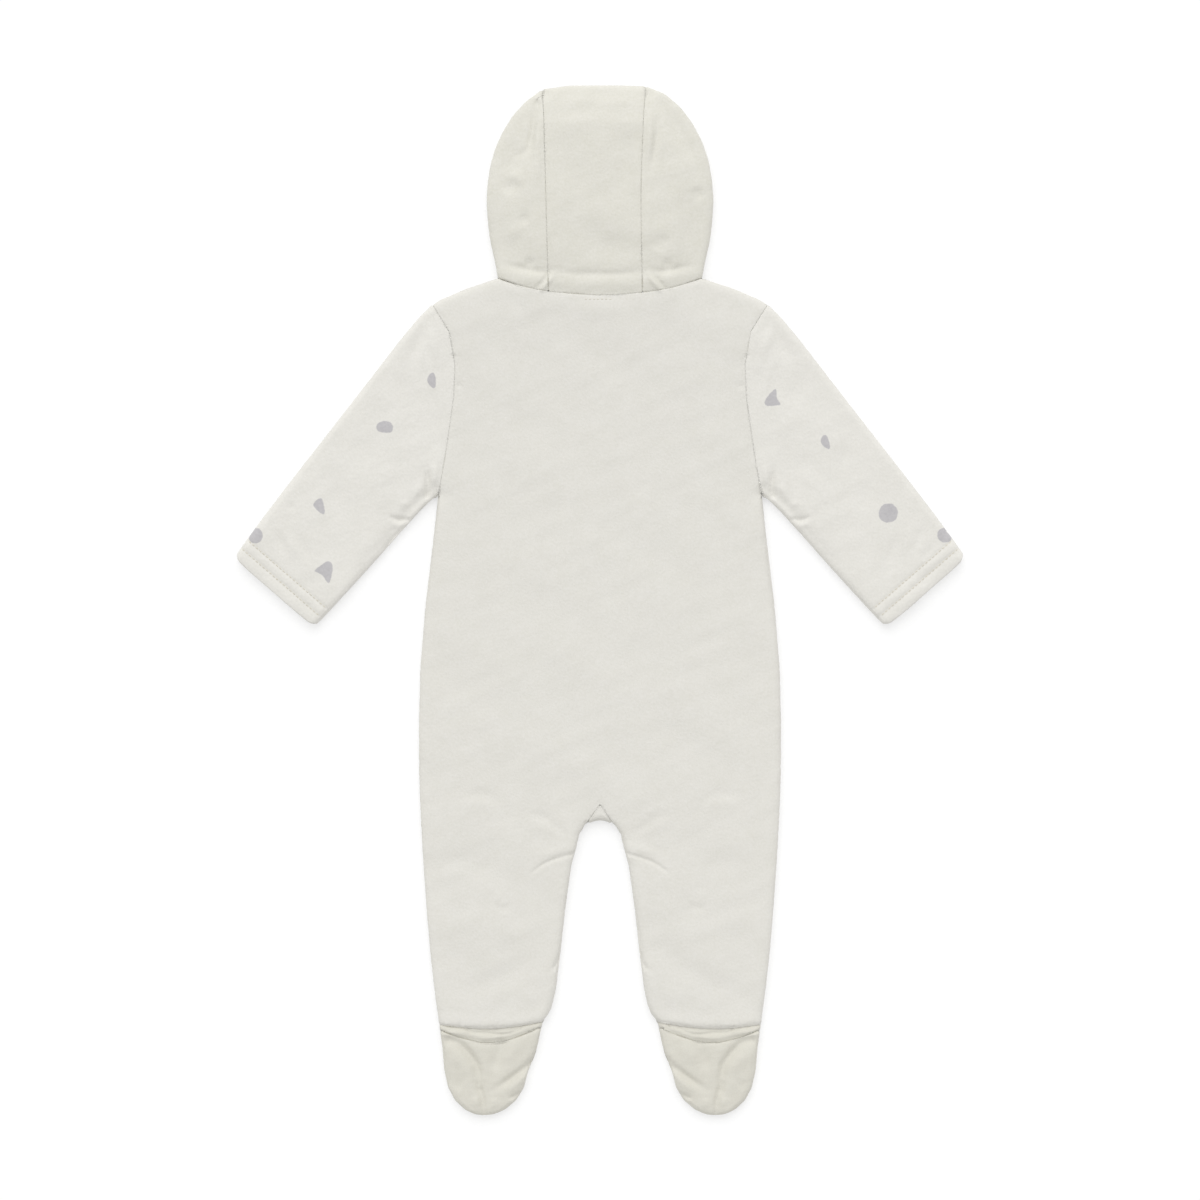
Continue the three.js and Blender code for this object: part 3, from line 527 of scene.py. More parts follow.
SLEEVE_FOLDS = [
    Fold(((-236, 53), (-229.5, 41), (-223.5, 26)), 3.8, -1.0),
    Fold(((-229, 50), (-222, 40), (-217, 27)), 3.6, 0.6),
    Fold(((-216, 48), (-213, 38), (-209.5, 27)), 3.4, -0.9),
    Fold(((-226, 66), (-219, 69)), 3.4, -0.7),
    Fold(((-178, 118), (-170, 106), (-162, 98)), 7.0, -0.6),
    Fold(((-196, 86), (-188, 70), (-184, 54)), 8.0, -0.5),
    Fold(((-160, 96), (-150, 84)), 9.0, 0.6),
    Fold(((-216, 90), (-206, 78)), 8.0, 0.5),
    Fold(((234, 55), (228.5, 43), (221, 29)), 4.2, -0.9),
    Fold(((214, 50), (211, 38), (205, 22)), 3.6, -0.8),
    Fold(((240, 40), (231, 27)), 3.2, -0.6),
    Fold(((182, 112), (172, 100), (160, 94)), 7.0, -0.6),
    Fold(((198, 84), (186, 62)), 8.0, -0.5),
    Fold(((158, 92), (148, 80)), 9.0, 0.6),
]
LEG_FOLDS = [
    *both(Fold(((-18, -182.5), (-32.5, -186.5), (-43.5, -192), (-54, -201)), 1.5, -0.75, 1.0, 0.05), 0.95),
    *both(Fold(((-20, -177.5), (-34, -181.5), (-46, -188.5)), 3.8, 0.8, 0.8, 0.1)),
    *both(Fold(((-26, -167.5), (-41, -156.5), (-54, -154)), 3.4, -0.6, 0.6, 0.05)),
    *both(Fold(((-28, -172), (-44, -163), (-60, -160)), 5.4, 0.5, 0.4, 0.1)),
    *both(Fold(((-103, -141.5), (-84, -140), (-70, -149)), 4.0, -0.5)),
    *both(Fold(((-104, -147), (-84, -146), (-72, -154)), 5.0, 0.4)),
    *both(Fold(((-77, -219), (-69.5, -222), (-63, -217)), 3.0, -0.5)),
    *both(Fold(((-77, -213), (-70, -214)), 4.0, 0.35)),
    *both(Fold(((-28, -255), (-31, -262), (-36, -268)), 2.0, -1.3, 1.0, 0.1), 0.9),
    *both(Fold(((-108, -232), (-75, -236), (-44, -246)), 9.0, 0.7, 0.4, 0.2)),
    *both(Fold(((-110, -286), (-75, -273), (-42, -250)), 8.0, -0.9, 0.3, 0.5)),
    *both(Fold(((-122, -188), (-95, -190), (-70, -198)), 7.0, -0.7, 0.6, 0.1)),
    *both(Fold(((-60, -280), (-44, -289)), 6.0, 0.6)),
]
FOOT_FOLDS = [
    *both(Fold(((-96.5, -308), (-92, -311.5), (-82, -312), (-72, -313), (-64.5, -312), (-57, -308.5)),
               1.3, -0.9, 0.8, 0.6)),
    *both(Fold(((-115, -312.5), (-107, -312), (-99, -312)), 2.6, 1.2, 0.7, 0.4), 0.9),
    *both(Fold(((-90, -315.5), (-80, -316), (-70, -315)), 1.8, 0.6)),
    *both(Fold(((-108.5, -317), (-101, -320), (-91.5, -331), (-88.5, -338), (-87, -352)),
               3.2, -2.7, 0.8, 0.5), 0.95),
    *both(Fold(((-110, -326), (-100, -333), (-95, -346)), 5.0, 1.0, 0.5, 0.2)),
    *both(Fold(((-88, -349), (-85, -358), (-83.5, -369)), 2.4, -1.7, 0.4, 0.9)),
    *both(Fold(((-71, -320), (-74, -329), (-77.5, -341)), 4.6, -1.8, 0.7, 0.2), 0.9),
    *both(Fold(((-58, -316), (-64, -326), (-68, -336)), 5.0, 1.0, 0.5, 0.1)),
    *both(Fold(((-48, -332), (-57.5, -339.5), (-66, -346), (-77, -353)), 2.7, -2.3, 0.9, 0.2), 0.9),
    *both(Fold(((-51, -341), (-61, -349), (-70, -356)), 3.2, 1.0, 0.6, 0.2)),
    *both(Fold(((-58, -355.5), (-67, -360)), 1.7, -1.1, 0.9, 0.1)),
    *both(Fold(((-90, -357), (-88, -366)), 3.0, 0.7)),
    *both(Fold(((-77, -358), (-76, -367)), 3.0, 0.7)),
    *both(Fold(((-106, -346), (-99, -352)), 4.0, -0.8, 0.6, 0.1)),
]
UNDER_FOLDS = [
    *both(Fold(((-20, 150), (-50, 138), (-82, 118)), 6.0, -0.9, face=Face.UNDER), 0.8),
    *both(Fold(((-30, 40), (-62, 26), (-98, 16)), 7.0, -0.8, face=Face.UNDER), 0.7),
    *both(Fold(((-18, -70), (-50, -84), (-86, -96)), 7.0, -0.8, face=Face.UNDER), 0.9),
    *both(Fold(((-30, -182), (-52, -190), (-80, -206)), 5.0, -1.1, 0.8, 0.1, Face.UNDER), 0.8),
    *both(Fold(((-40, -262), (-68, -270), (-98, -268)), 7.0, -0.8, face=Face.UNDER), 1.1),
    *both(Fold(((-150, 130), (-138, 116), (-126, 94)), 5.0, -0.9, face=Face.UNDER), 0.8),
    *both(Fold(((-228, 60), (-216, 44), (-206, 22)), 5.0, -0.9, face=Face.UNDER)),
    *both(Fold(((-62, 304), (-70, 296), (-77, 284)), 5.0, -0.9, face=Face.UNDER), 0.8),
    *both(Fold(((-84, -324), (-87, -338), (-84, -358)), 3.0, -1.2, face=Face.UNDER)),
    *both(Fold(((-58, -330), (-68, -340), (-74, -354)), 3.0, -1.0, face=Face.UNDER)),
]
FOLDS = [*NECK_ROLL, *HOOD_FOLDS, *SHOULDER_FOLDS, *UNDERARM_FOLDS, *SLEEVE_FOLDS, *LEG_FOLDS, *FOOT_FOLDS,
         *UNDER_FOLDS]


def cuff_line(side: str, inset: float) -> tuple[Points, Points]:
    """A line across a sleeve, parallel to its cuff's edge.

    Args:
        side: "left" or "right".
        inset: Its distance from the edge, in metres.

    Returns:
        Its two ends on the sleeve's fold edges, the outer one first.
    """
    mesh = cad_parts[f"sleeve_{side}"].data
    plan = np.array([tuple(vertex.co)[:2] for vertex in mesh.vertices])
    outer = plan[np.argmax(np.abs(plan[:, 0]))]
    inner = plan[np.argmin(plan[:, 1])]
    way = (inner - outer) / np.hypot(*(inner - outer))
    up = np.array([-way[1], way[0]]) * (1 if side == "left" else -1)
    edge = ((plan - outer) @ up).min()
    middle = (outer + inner) / 2
    middle = middle + up * (inset + edge - (middle - outer) @ up)
    band = plan[np.abs((plan - middle) @ up) < 6 * MM]
    reach = (band - middle) @ way
    return middle + way * reach.min(), middle + way * reach.max()


CUFF_STITCHING = (8.9 * MM, 16.3 * MM)  # of its two rows, from the cuff's edge


def cuff_folds(side: str) -> list[Fold]:
    """The two grooves that the cuff's stitching draws in, and the soft swell between them.

    Args:
        side: "left" or "right".

    Returns:
        The folds of both faces.
    """
    made = []
    for face in Face:
        for inset in CUFF_STITCHING:
            ends = tuple((x / MM, y / MM) for x, y in cuff_line(side, inset))
            made.append(Fold(ends, 1.3, -0.45, 1.0, 1.0, face))
        if face is Face.TOP:
            for inset, height in ((4.0, 0.35), (12.6, 0.35)):
                ends = tuple((x / MM, y / MM) for x, y in cuff_line(side, inset * MM))
                made.append(Fold(ends, 2.4, height, 0.8, 0.8, face))
    return made


# ------------------------------------------------------------------ print


@dataclass(frozen=True)
class Pebble:
    """A printed pebble, in millimetres: its middle, and its corners round the middle."""

    x: float
    y: float
    corners: tuple[tuple[float, float], ...]
    turn: float = 0.0  # degrees, anticlockwise
    size: float = 1.1

    def outline(self) -> Points:
        """Its rounded outline in metres.

        Returns:
            Rows of x and y, anticlockwise or clockwise.
        """
        points = np.array(self.corners) * self.size
        for _ in range(2):  # cutting the corners twice leaves them round
            after = np.roll(points, -1, axis=0)
            points = np.stack([0.8 * points + 0.2 * after, 0.2 * points + 0.8 * after], 1).reshape(-1, 2)
        angle = math.radians(self.turn)
        spin = np.array([[math.cos(angle), math.sin(angle)], [-math.sin(angle), math.cos(angle)]])
        return (points @ spin + (self.x, self.y)) * MM


class Print:
    """The scatter of grey pebbles on the sleeves."""

    ATTRIBUTE = "pebble_depth"
    DOME = ((-6, 0), (-4.8, 3), (0, 4.6), (4.2, 3.4), (5.8, 0.2), (4.6, -3.6), (-1, -3.6), (-4.4, -2.6))
    DROP = ((1.2, 5.8), (-1.4, 4.2), (-3.2, 0.6), (-1.6, -3), (1.6, -5.6), (2.8, -4), (3, 0.4), (2.4, 3.6))
    WEDGE = ((0.6, 5.8), (-2.6, 3.6), (-4.6, 0.6), (-1.6, -3), (2.8, -6), (3.8, -4.4),
             (3.2, -0.4), (2.2, 4.2))
    SHARD = ((1, 7.6), (3.6, 6.8), (4.8, 3.6), (4, -2.4), (2.2, -8), (0.6, -6.6),
             (-2.2, -1.8), (-8, 0.8), (-6, 2.6))
    STONE = ((-4.6, 1.2), (-2, 5), (2.4, 5.6), (5.4, 2.4), (5, -2.6), (1.4, -5.2), (-3.4, -4))
    BLOCK = ((-6.4, 1.4), (-3.6, 6), (2.6, 6.6), (6.8, 2.2), (5.4, -4.6), (-0.8, -6.8), (-5.8, -4))
    TOP = (
        Pebble(-121.3, 158, DROP),
        Pebble(-155, 124.3, DOME),
        Pebble(-202, 67.6, WEDGE),
        Pebble(-248.5, 46, STONE),
        Pebble(-197.4, 20, SHARD),
        Pebble(124.5, 145, SHARD, turn=150, size=0.95),
        Pebble(162, 113.5, DROP, turn=14, size=1.05),
        Pebble(207.5, 62.5, BLOCK),
        Pebble(248.5, 46, STONE, turn=80),
    )
    UNDER = (
        Pebble(-140, 120, STONE, turn=30),
        Pebble(-180, 96, DROP, turn=-20),
        Pebble(-222, 34, DOME, turn=8),
        Pebble(-172, 40, WEDGE, turn=50),
        Pebble(138, 128, DOME, turn=-24),
        Pebble(176, 70, SHARD, turn=14, size=0.9),
        Pebble(216, 66, DROP, turn=36),
        Pebble(200, 18, STONE, turn=-40),
    )

    @staticmethod
    def depth(points: Points, corners: Points) -> Points:
        """How deep points lie inside a corner ring, negative outside.

        Args:
            points: Rows of x and y.
            corners: The ring's corners in order.

        Returns:
            One depth for each point, in the points' unit.
        """
        following = np.roll(corners, -1, axis=0)
        nearest = np.full(len(points), np.inf)
        crossings = np.zeros(len(points), dtype=int)
        for start, end in zip(corners, following):
            way = end - start
            share = np.clip((points - start) @ way / (way @ way), 0, 1)
            nearest = np.minimum(nearest, np.hypot(*(points - start - share[:, None] * way).T))
            spans = (start[1] > points[:, 1]) != (end[1] > points[:, 1])
            rise = end[1] - start[1] if end[1] != start[1] else 1e-12
            crossings += spans & (points[:, 0] < start[0] + (points[:, 1] - start[1]) * way[0] / rise)
        return np.where(crossings % 2 == 1, nearest, -nearest)

    def paint(self, piece: bpy.types.Object, points: Points) -> None:
        """Stores on a sleeve how deep each of its points lies in a pebble.

        Args:
            piece: The sleeve.
            points: Its points.
        """
        far = np.full(len(points), -1.0)
        above = points[:, 2] > MID_HEIGHT
        for pebbles, on_face in ((self.TOP, above), (self.UNDER, ~above)):
            for pebble in pebbles:
                inside = self.depth(points[:, :2], pebble.outline())
                far = np.where(on_face, np.maximum(far, inside), far)
        attribute = piece.data.attributes.new(self.ATTRIBUTE, "FLOAT", "POINT")
        attribute.data.foreach_set("value", far.astype(np.float32))


# ------------------------------------------------------------------ cloth


@dataclass
class ClothPiece:
    """One cut piece of the garment, a thin shell laid on its CAD solid's form."""

    node: str
    finish: bpy.types.Material
    slot: str
    flat: tuple[float, float]  # metres, of the cut laid out
    fine: float = 3.2  # millimetres, the longest edge where the cloth shows
    fine_under: float = 4.2  # and where it lies on the floor
    soften: int = 6
    dip: float = 0.3  # millimetres that a seam draws its edge in
    folds: list[Fold] = field(default_factory=lambda: FOLDS)
    rests_on: list[str] = field(default_factory=list)
    others: BVHTree | None = None  # the CAD solids beside it

    COARSE = 9.0  # the same where the cloth is hidden
    FINEST = 0.9  # and on the narrowest folds
    RESTING = 0.6  # height under which a face rests on the floor
    SEAM_FINE = 1.2  # and beside a seam
    SEAM_REACH = 2.6  # how far a seam's dip spreads
    WALL = 4.6  # millimetres, a little over the cloth's thickness
    SHARP = math.radians(60)  # at which two of the solid's faces meet in a seam or a hem
    SWELL = 0.12  # that the pile stands out
    UNEVEN = ((46.0, 0.26), (15.0, 0.08), (5.0, 0.03))  # breadth and height of the laid cloth's waves
    FULL = 0.7  # share of its height that softening leaves a seam
    SEWN = 2.4  # widest gap between two CAD solids that a seam joins

    def build(self, name: str) -> bpy.types.Object:
        """Builds the piece.

        Args:
            name: The new piece's name.

        Returns:
            The piece, riding on the garment in place of its CAD solid.
        """
        solid = bmesh.new()
        solid.from_mesh(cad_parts[self.node].data)
        bmesh.ops.remove_doubles(solid, verts=solid.verts[:], dist=1e-6)
        bmesh.ops.triangulate(solid, faces=solid.faces[:])
        area = min(sum(face.calc_area() for face in solid.faces) / 2, self.flat[0] * self.flat[1])
        corners = self._corners(solid)
        points, triangles = self._refined(solid, corners)
        solid.free()
        free = np.zeros(len(points), dtype=bool)
        free[triangles[self._shows(points, triangles)]] = True
        seam = np.full(len(points), 1.0)
        seam[free] = self._reach(corners, points[free])
        laid, facing = points, point_normals(points, triangles)
        points = self._softened(points, triangles, free)
        points, sewn = self._closed(points, laid, facing, np.nonzero(free & (seam < self.WALL * MM))[0])
        normals = point_normals(points, triangles) * (1 - sewn[:, None])
        points = points + normals * self.SWELL * MM * free[:, None]
        points = self._folded(points, normals, seam)
        points[:, 2] = np.maximum(points[:, 2], 0.0)
        piece = mesh_object(name, points, triangles.tolist())
        if self.slot == "printed_velour":
            Print().paint(piece, points)
        dress(piece, self.finish)
        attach(piece, GARMENT)
        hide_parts(self.node)
        LOG.info("%s: %d faces, cut area %.4f m2", name, len(piece.data.polygons), area)
        return piece

    def _corners(self, solid: bmesh.types.BMesh) -> KDTree:
        """Points along the solid's sharp edges, which are its seams and hems.

        Args:
            solid: The CAD solid.

        Returns:
            A search tree of the points.
        """
        found = []
        for edge in solid.edges:
            if edge.calc_face_angle(0.0) > self.SHARP:
                first, second = (vertex.co for vertex in edge.verts)
                count = max(1, math.ceil((second - first).length / (0.8 * MM)))
                found += [first.lerp(second, step / count) for step in range(count + 1)]
        tree = KDTree(len(found))
        for place, point in enumerate(found):
            tree.insert(point, place)
        tree.balance()
        return tree

    @staticmethod
    def _reach(corners: KDTree, points: Points) -> Points:
        """Distance of each point from the nearest sharp edge."""
        return np.array([corners.find(point)[2] for point in points.tolist()])

    def _refined(self, solid: bmesh.types.BMesh, corners: KDTree) -> tuple[Points, Points]:
        """Refines the CAD solid's shell: finely where it shows, and coarsely on hidden faces.

        Args:
            solid: The CAD solid.
            corners: Points along its sharp edges.

        Returns:
            The shell's points and triangles.
        """
        points = np.array([tuple(vertex.co) for vertex in solid.verts])
        triangles = np.array([[vertex.index for vertex in face.verts] for face in solid.faces])
        split = True
        while split:
            points, triangles, split = halved(points, triangles, self._limits(points, triangles, corners))
        return points, triangles

    def _limits(self, points: Points, triangles: Points, corners: KDTree) -> Points:
        """The longest edge that each triangle may keep, in metres.

        Args:
            points: The shell's points.
            triangles: Its triangles.
            corners: Points along its sharp edges.

        Returns:
            One length for each triangle.
        """
        shows = self._shows(points, triangles)
        under = (points[triangles, 2] < self.RESTING * MM).all(axis=1)
        widest = np.where(under, self.fine_under, self.fine)
        limits = np.where(shows, widest, self.COARSE)
        sides = np.linalg.norm(points[np.roll(triangles, -1, axis=1)] - points[triangles], axis=2)
        longest = sides.max(axis=1) / MM
        tested = np.nonzero(shows & (longest > self.FINEST) & (longest <= widest))[0]
        centres = points[triangles[tested]].mean(axis=1)
        close = self._reach(corners, centres) < self.SEAM_REACH * MM
        fine = np.where(close, np.minimum(widest[tested], self.SEAM_FINE), widest[tested])
        for fold in self.folds:
            wanted = max(0.55 * fold.width, self.FINEST)
            if wanted < max(self.fine, self.fine_under):
                near = fold.near(centres[:, :2])
                near = near[under[tested[near]] == (fold.face is Face.UNDER)]
                inside = near[fold.away(centres[near, :2])[0] < 1.8]
                fine[inside] = np.minimum(fine[inside], wanted)
        limits[tested] = fine
        return limits * MM

    @staticmethod
    def _shows(points: Points, triangles: Points) -> Points:
        """Which triangles lie on the garment's outside or round an edge.

        Args:
            points: The shell's points.
            triangles: Its triangles.

        Returns:
            True for each triangle that does.
        """
        first, second, third = (points[triangles[:, corner]] for corner in range(3))
        normals = np.cross(second - first, third - first)
        upward = normals[:, 2] / np.maximum(np.linalg.norm(normals, axis=1), 1e-12)
        height = (first + second + third)[:, 2] / 3
        inner_top = (upward < -0.9) & (height > MID_HEIGHT - 0.2 * MM)
        inner_under = (upward > 0.9) & (height < MID_HEIGHT - 0.1 * MM)
        return ~(inner_top | inner_under)

    def _softened(self, points: Points, triangles: Points, free: Points) -> Points:
        """Rounds the facets and corners of the shell's free points.

        Args:
            points: The shell's points.
            triangles: Its triangles.
            free: True for each point that may move.

        Returns:
            The moved points.
        """
        edges, _ = edges_of(triangles, len(points))
        lengths = np.linalg.norm(points[edges[:, 0]] - points[edges[:, 1]], axis=1)
        first, second = edges[lengths < 1.4 * self.fine * MM].T
        count = len(points)
        valence = np.bincount(first, minlength=count) + np.bincount(second, minlength=count)
        share = 0.5 * (free & (valence > 2))[:, None]
        valence = np.maximum(valence, 1)
        for _ in range(self.soften):
            total = np.stack([
                np.bincount(first, along[second], count) + np.bincount(second, along[first], count)
                for along in points.T
            ], axis=1)
            points = points + share * (total / valence[:, None] - points)
        return points

    def _closed(self, points: Points, laid: Points, facing: Points, rim: Points) -> tuple[Points, Points]:
        """Brings the faces that a seam joins together, so that only a shallow valley shows.

        Args:
            points: The softened points.
            laid: The same points on the CAD solid.
            facing: The CAD solid's outward direction at each.
            rim: Numbers of the points that may lie on a seam.

        Returns:
            The points, and how far each is sewn to the next piece, from 0 to 1.
        """
        points, sewn = points.copy(), np.zeros(len(points))
        for number in rim.tolist():
            beside, _, _, gap = self.others.find_nearest(laid[number].tolist(), self.SEWN * MM)
            if beside is None or gap < 1e-7:
                continue
            toward = (np.array(beside) - laid[number]) / gap
            share = float(smooth_step(toward @ facing[number], 0.3, 0.65))
            if share > 0:
                target = laid[number] + toward * (gap / 2 - 0.01 * MM)
                points[number] += share * toward * ((target - points[number]) @ toward)
                points[number, 2] += self.FULL * (laid[number, 2] - points[number, 2])
                sewn[number] = share
        return points, sewn

    def _folded(self, points: Points, normals: Points, seam: Points) -> Points:
        """Presses the folds, the seams' dips and the cloth's unevenness into the outer faces.

        Args:
            points: The shell's points.
            normals: Their outward directions.
            seam: Their distances from the nearest sharp edge.

        Returns:
            The moved points.
        """
        height, upward = points[:, 2], normals[:, 2]
        top = smooth_step(height, MID_HEIGHT, MID_HEIGHT + 2.5 * MM) * smooth_step(upward, 0.0, 0.5)
        under = smooth_step(-height, -2.5 * MM, -1.0 * MM) * smooth_step(-upward, 0.0, 0.5)
        rise = np.zeros(len(points))
        for fold in self.folds:
            near = fold.near(points[:, :2])
            face = top if fold.face is Face.TOP else -under
            rise[near] += fold.rise(points[near, :2]) * face[near]
        rise -= (top - under) * self.dip * MM * np.exp(-((seam / (self.SEAM_REACH * MM)) ** 2))
        points = points + rise[:, None] * (0, 0, 1)
        uneven = sum(waves(points, breadth, swing) for breadth, swing in self.UNEVEN)
        return points + normals * (uneven * np.clip(top, 0, 1))[:, None]


class Garment:
    """All the cloth pieces."""

    CLOTH = ("back", "front_left", "front_right", "gusset", "sleeve_left", "sleeve_right", "hood_centre",
             "hood_side_left", "hood_side_right", "heel_left", "heel_right", "sole_left", "sole_right",
             "foot_top_left", "foot_top_right")

    def __init__(self) -> None:
        self.body = BODY_VELOUR.build()
        self.hood = HOOD_VELOUR.build()
        self.printed = PRINTED_VELOUR.build()
        self.foot = FOOT_FLEECE.build()
        self.pieces: dict[str, bpy.types.Object] = {}

    def build(self) -> None:
        """Builds every piece, the under layer first."""
        velour, printed, foot = "plush_velour", "printed_velour", "foot_fleece"
        fronts = ["front_left", "front_right"]
        hood_flat = {"left": (0.07, 0.171), "right": (0.079, 0.173)}
        for side in ("left", "right"):
            front = ClothPiece(f"front_{side}", self.body, velour, (0.131, 0.548))
            self._add(f"front_panel_{side}", front)
            upper = ClothPiece(f"foot_top_{side}", self.foot, foot, (0.071, 0.056), fine=1.6)
            self._add(f"foot_upper_{side}", upper)
        self._add("back_panel", ClothPiece("back", self.body, velour, (0.262, 0.541), rests_on=fronts))
        gusset = ClothPiece("gusset", self.body, velour, (0.02, 0.022), fine=1.1, soften=3)
        self._add("crotch_gusset", gusset)
        for side in ("left", "right"):
            sleeve = ClothPiece(f"sleeve_{side}", self.printed, printed, (0.276, 0.232), fine=1.9,
                                fine_under=1.9, folds=[*FOLDS, *cuff_folds(side)])
            self._add(f"sleeve_tube_{side}", sleeve)
            panel = ClothPiece(f"hood_side_{side}", self.hood, velour, hood_flat[side], fine=1.8)
            self._add(f"hood_panel_{side}", panel)
            heel = ClothPiece(f"heel_{side}", self.foot, foot, (0.075, 0.015), fine=1.0, soften=4)
            self._add(f"heel_lip_{side}", heel)
            sole = ClothPiece(f"sole_{side}", self.foot, foot, (0.074, 0.064), fine=1.1, soften=7)
            self._add(f"foot_sole_{side}", sole)
        self._add("hood_strip", ClothPiece("hood_centre", self.hood, velour, (0.073, 0.186), fine=1.8))

    def _add(self, name: str, piece: ClothPiece) -> None:
        """Builds one piece beside the others and keeps it.

        Args:
            name: The new piece's name.
            piece: What to build.
        """
        vertices: list[tuple[float, float, float]] = []
        faces: list[list[int]] = []
        for node in self.CLOTH:
            if node != piece.node:
                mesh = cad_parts[node].data
                faces += [[place + len(vertices) for place in face.vertices] for face in mesh.polygons]
                vertices += [tuple(vertex.co) for vertex in mesh.vertices]
        piece.others = BVHTree.FromPolygons(vertices, faces)
        self.pieces[name] = piece.build(name)


# ------------------------------------------------------------------ stitches


@dataclass
class Stitches:
    """Rows of lockstitch: short threads that lie on the cloth and dive into it at their ends."""

    pitch: float = 3.2 * MM
    length: float = 2.5 * MM
    thread: float = 0.58 * MM
    above: float = 0.14 * MM  # the thread's middle over the cloth
    dive: float = 0.16 * MM  # its ends in the cloth

    def row(self, name: str, cloth: bpy.types.Object, start: Points, end: Points, faces: tuple[Face, ...],
            slot: str) -> bpy.types.Object:
        """Sews a straight row.

        Args:
            name: The row's name.
            cloth: The piece that it is sewn on.
            start: Where it starts in plan, in metres.
            end: Where it ends.
            faces: The faces of the cloth that show it.
            slot: The record's material slot; not used.

        Returns:
            The row, as one piece.
        """
        surface = BVHTree.FromObject(cloth, bpy.context.evaluated_depsgraph_get())
        way = (end - start) / np.hypot(*(end - start))
        count = int(np.hypot(*(end - start)) / self.pitch)
        shape = bmesh.new()
        for face in faces:
            up = 1.0 if face is Face.TOP else -1.0
            for place in range(count):
                middle = start + way * self.pitch * (place + 0.5)
                self._stitch(shape, surface, middle, way, up)
        mesh = bpy.data.meshes.new(name)
        shape.to_mesh(mesh)
        shape.free()
        mesh.shade_smooth()
        row = bpy.data.objects.new(name, mesh)
        bpy.context.scene.collection.objects.link(row)
        dress(row, self.material())
        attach(row, GARMENT)
        LOG.info("%s: %d stitches", name, count * len(faces))
        return row

    @staticmethod
    def material() -> bpy.types.Material:
        """The thread's material, made once."""
        return bpy.data.materials.get(THREAD.name) or THREAD.build()

    def _stitch(self, shape: bmesh.types.BMesh, surface: BVHTree, middle: Points, way: Points,
                up: float) -> None:
        """Adds one stitch, an arched thread with round ends.

        Args:
            shape: The row's mesh.
            surface: The cloth.
            middle: The stitch's middle in plan.
            way: The row's direction in plan.
            up: 1 on the top face and -1 below.
        """
        sections, sides = 7, 6
        across = Vector((-way[1], way[0], 0.0))
        rings = []
        for section in range(sections):
            share = section / (sections - 1) * 2 - 1
            plan = middle + way * share * self.length / 2
            hit = surface.ray_cast(Vector((*plan, up * 0.05)), Vector((0, 0, -up)))[0]
            if hit is None:
                return
            arch = math.sqrt(max(0.0, 1 - share * share))
            height = hit.z + up * (self.above * arch - self.dive * (1 - arch))
            centre = Vector((*plan, max(height, 0.0) if up > 0 else height))
            radius = self.thread / 2 * max(arch, 0.25)
            turns = [math.tau * side / sides for side in range(sides)]
            spokes = [across * math.cos(turn) + Vector((0, 0, up * math.sin(turn))) for turn in turns]
            rings.append([shape.verts.new(centre + radius * spoke) for spoke in spokes])
        for ring, following in zip(rings, rings[1:]):
            for side in range(sides):
                after = (side + 1) % sides
                shape.faces.new((ring[side], ring[after], following[after], following[side]))
        shape.faces.new(rings[0][::-1])
        shape.faces.new(rings[-1])


def sew(garment: Garment) -> None:
    """Sews the cuffs' double rows and the short row behind the neck that holds the hanging loop.

    Args:
        garment: The cloth.
    """
    inset = 1.5 * MM  # from the sleeve's fold edges
    for side in ("left", "right"):
        for number, distance in enumerate(CUFF_STITCHING, start=1):
            start, end = cuff_line(side, distance)
            way = (end - start) / np.hypot(*(end - start))
            Stitches().row(f"cuff_stitches_{side}_{number}", garment.pieces[f"sleeve_tube_{side}"],
                           start + way * inset, end - way * inset, (Face.TOP,), "printed_velour")
    start, end = np.array([-11.5, 216.5]) * MM, np.array([9.0, 216.5]) * MM
    Stitches(pitch=2.9 * MM, length=2.2 * MM, thread=0.42 * MM).row(
        "neck_stitches", garment.pieces["back_panel"], start, end, (Face.TOP,), "plush_velour")


# ------------------------------------------------------------------ zip


@dataclass
class Zip:
    """The zip under the garment: its tapes, teeth, stop, slider and pull."""

    pitch: float = 2.5 * MM  # from one tooth to the next on a side
    tooth: float = 1.5 * MM  # length of a tooth along the zip

    def build(self) -> None:
        """Dresses the CAD pieces, and lays single teeth in place of their plain bar."""
        tape, teeth, metal = ZIP_TAPE.build(), ZIP_TEETH.build(), ZIP_METAL.build()
        for node, material in (("zip_tape_left", tape), ("zip_tape_right", tape), ("zip_stop", metal),
                               ("zip_slider", metal), ("zip_pull", metal)):
            dress(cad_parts[node], material)
        row = self._teeth()
        dress(row, teeth)
        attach(row, GARMENT)
        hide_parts("zip_teeth")
        LOG.info("zip: %d tooth faces", len(row.data.polygons))

    def _teeth(self) -> bpy.types.Object:
        """Makes the closed teeth, which reach past the middle from each side in turn.

        Returns:
            The teeth as one piece.
        """
        low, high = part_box("zip_teeth")
        shape = bmesh.new()
        count = int((high.y - low.y) / self.pitch)
        reach = high.x * 1.12
        for place in range(count):
            for side in (-1, 1):
                y = low.y + self.pitch * (place + (0.5 if side > 0 else 0.0)) + self.tooth / 2
                if y + self.tooth / 2 > high.y:
                    continue
                made = bmesh.ops.create_cube(shape, size=1.0)["verts"]
                bmesh.ops.scale(shape, vec=(reach, self.tooth * 0.72, high.z - low.z), verts=made)
                middle = side * (high.x - reach / 2)
                bmesh.ops.translate(shape, vec=(middle, y, (low.z + high.z) / 2), verts=made)
        bmesh.ops.bevel(shape, geom=shape.edges[:], offset=0.18 * MM, segments=1, affect="EDGES")
        mesh = bpy.data.meshes.new("zip_tooth_rows")
        shape.to_mesh(mesh)
        shape.free()
        row = bpy.data.objects.new("zip_tooth_rows", mesh)
        bpy.context.scene.collection.objects.link(row)
        return row


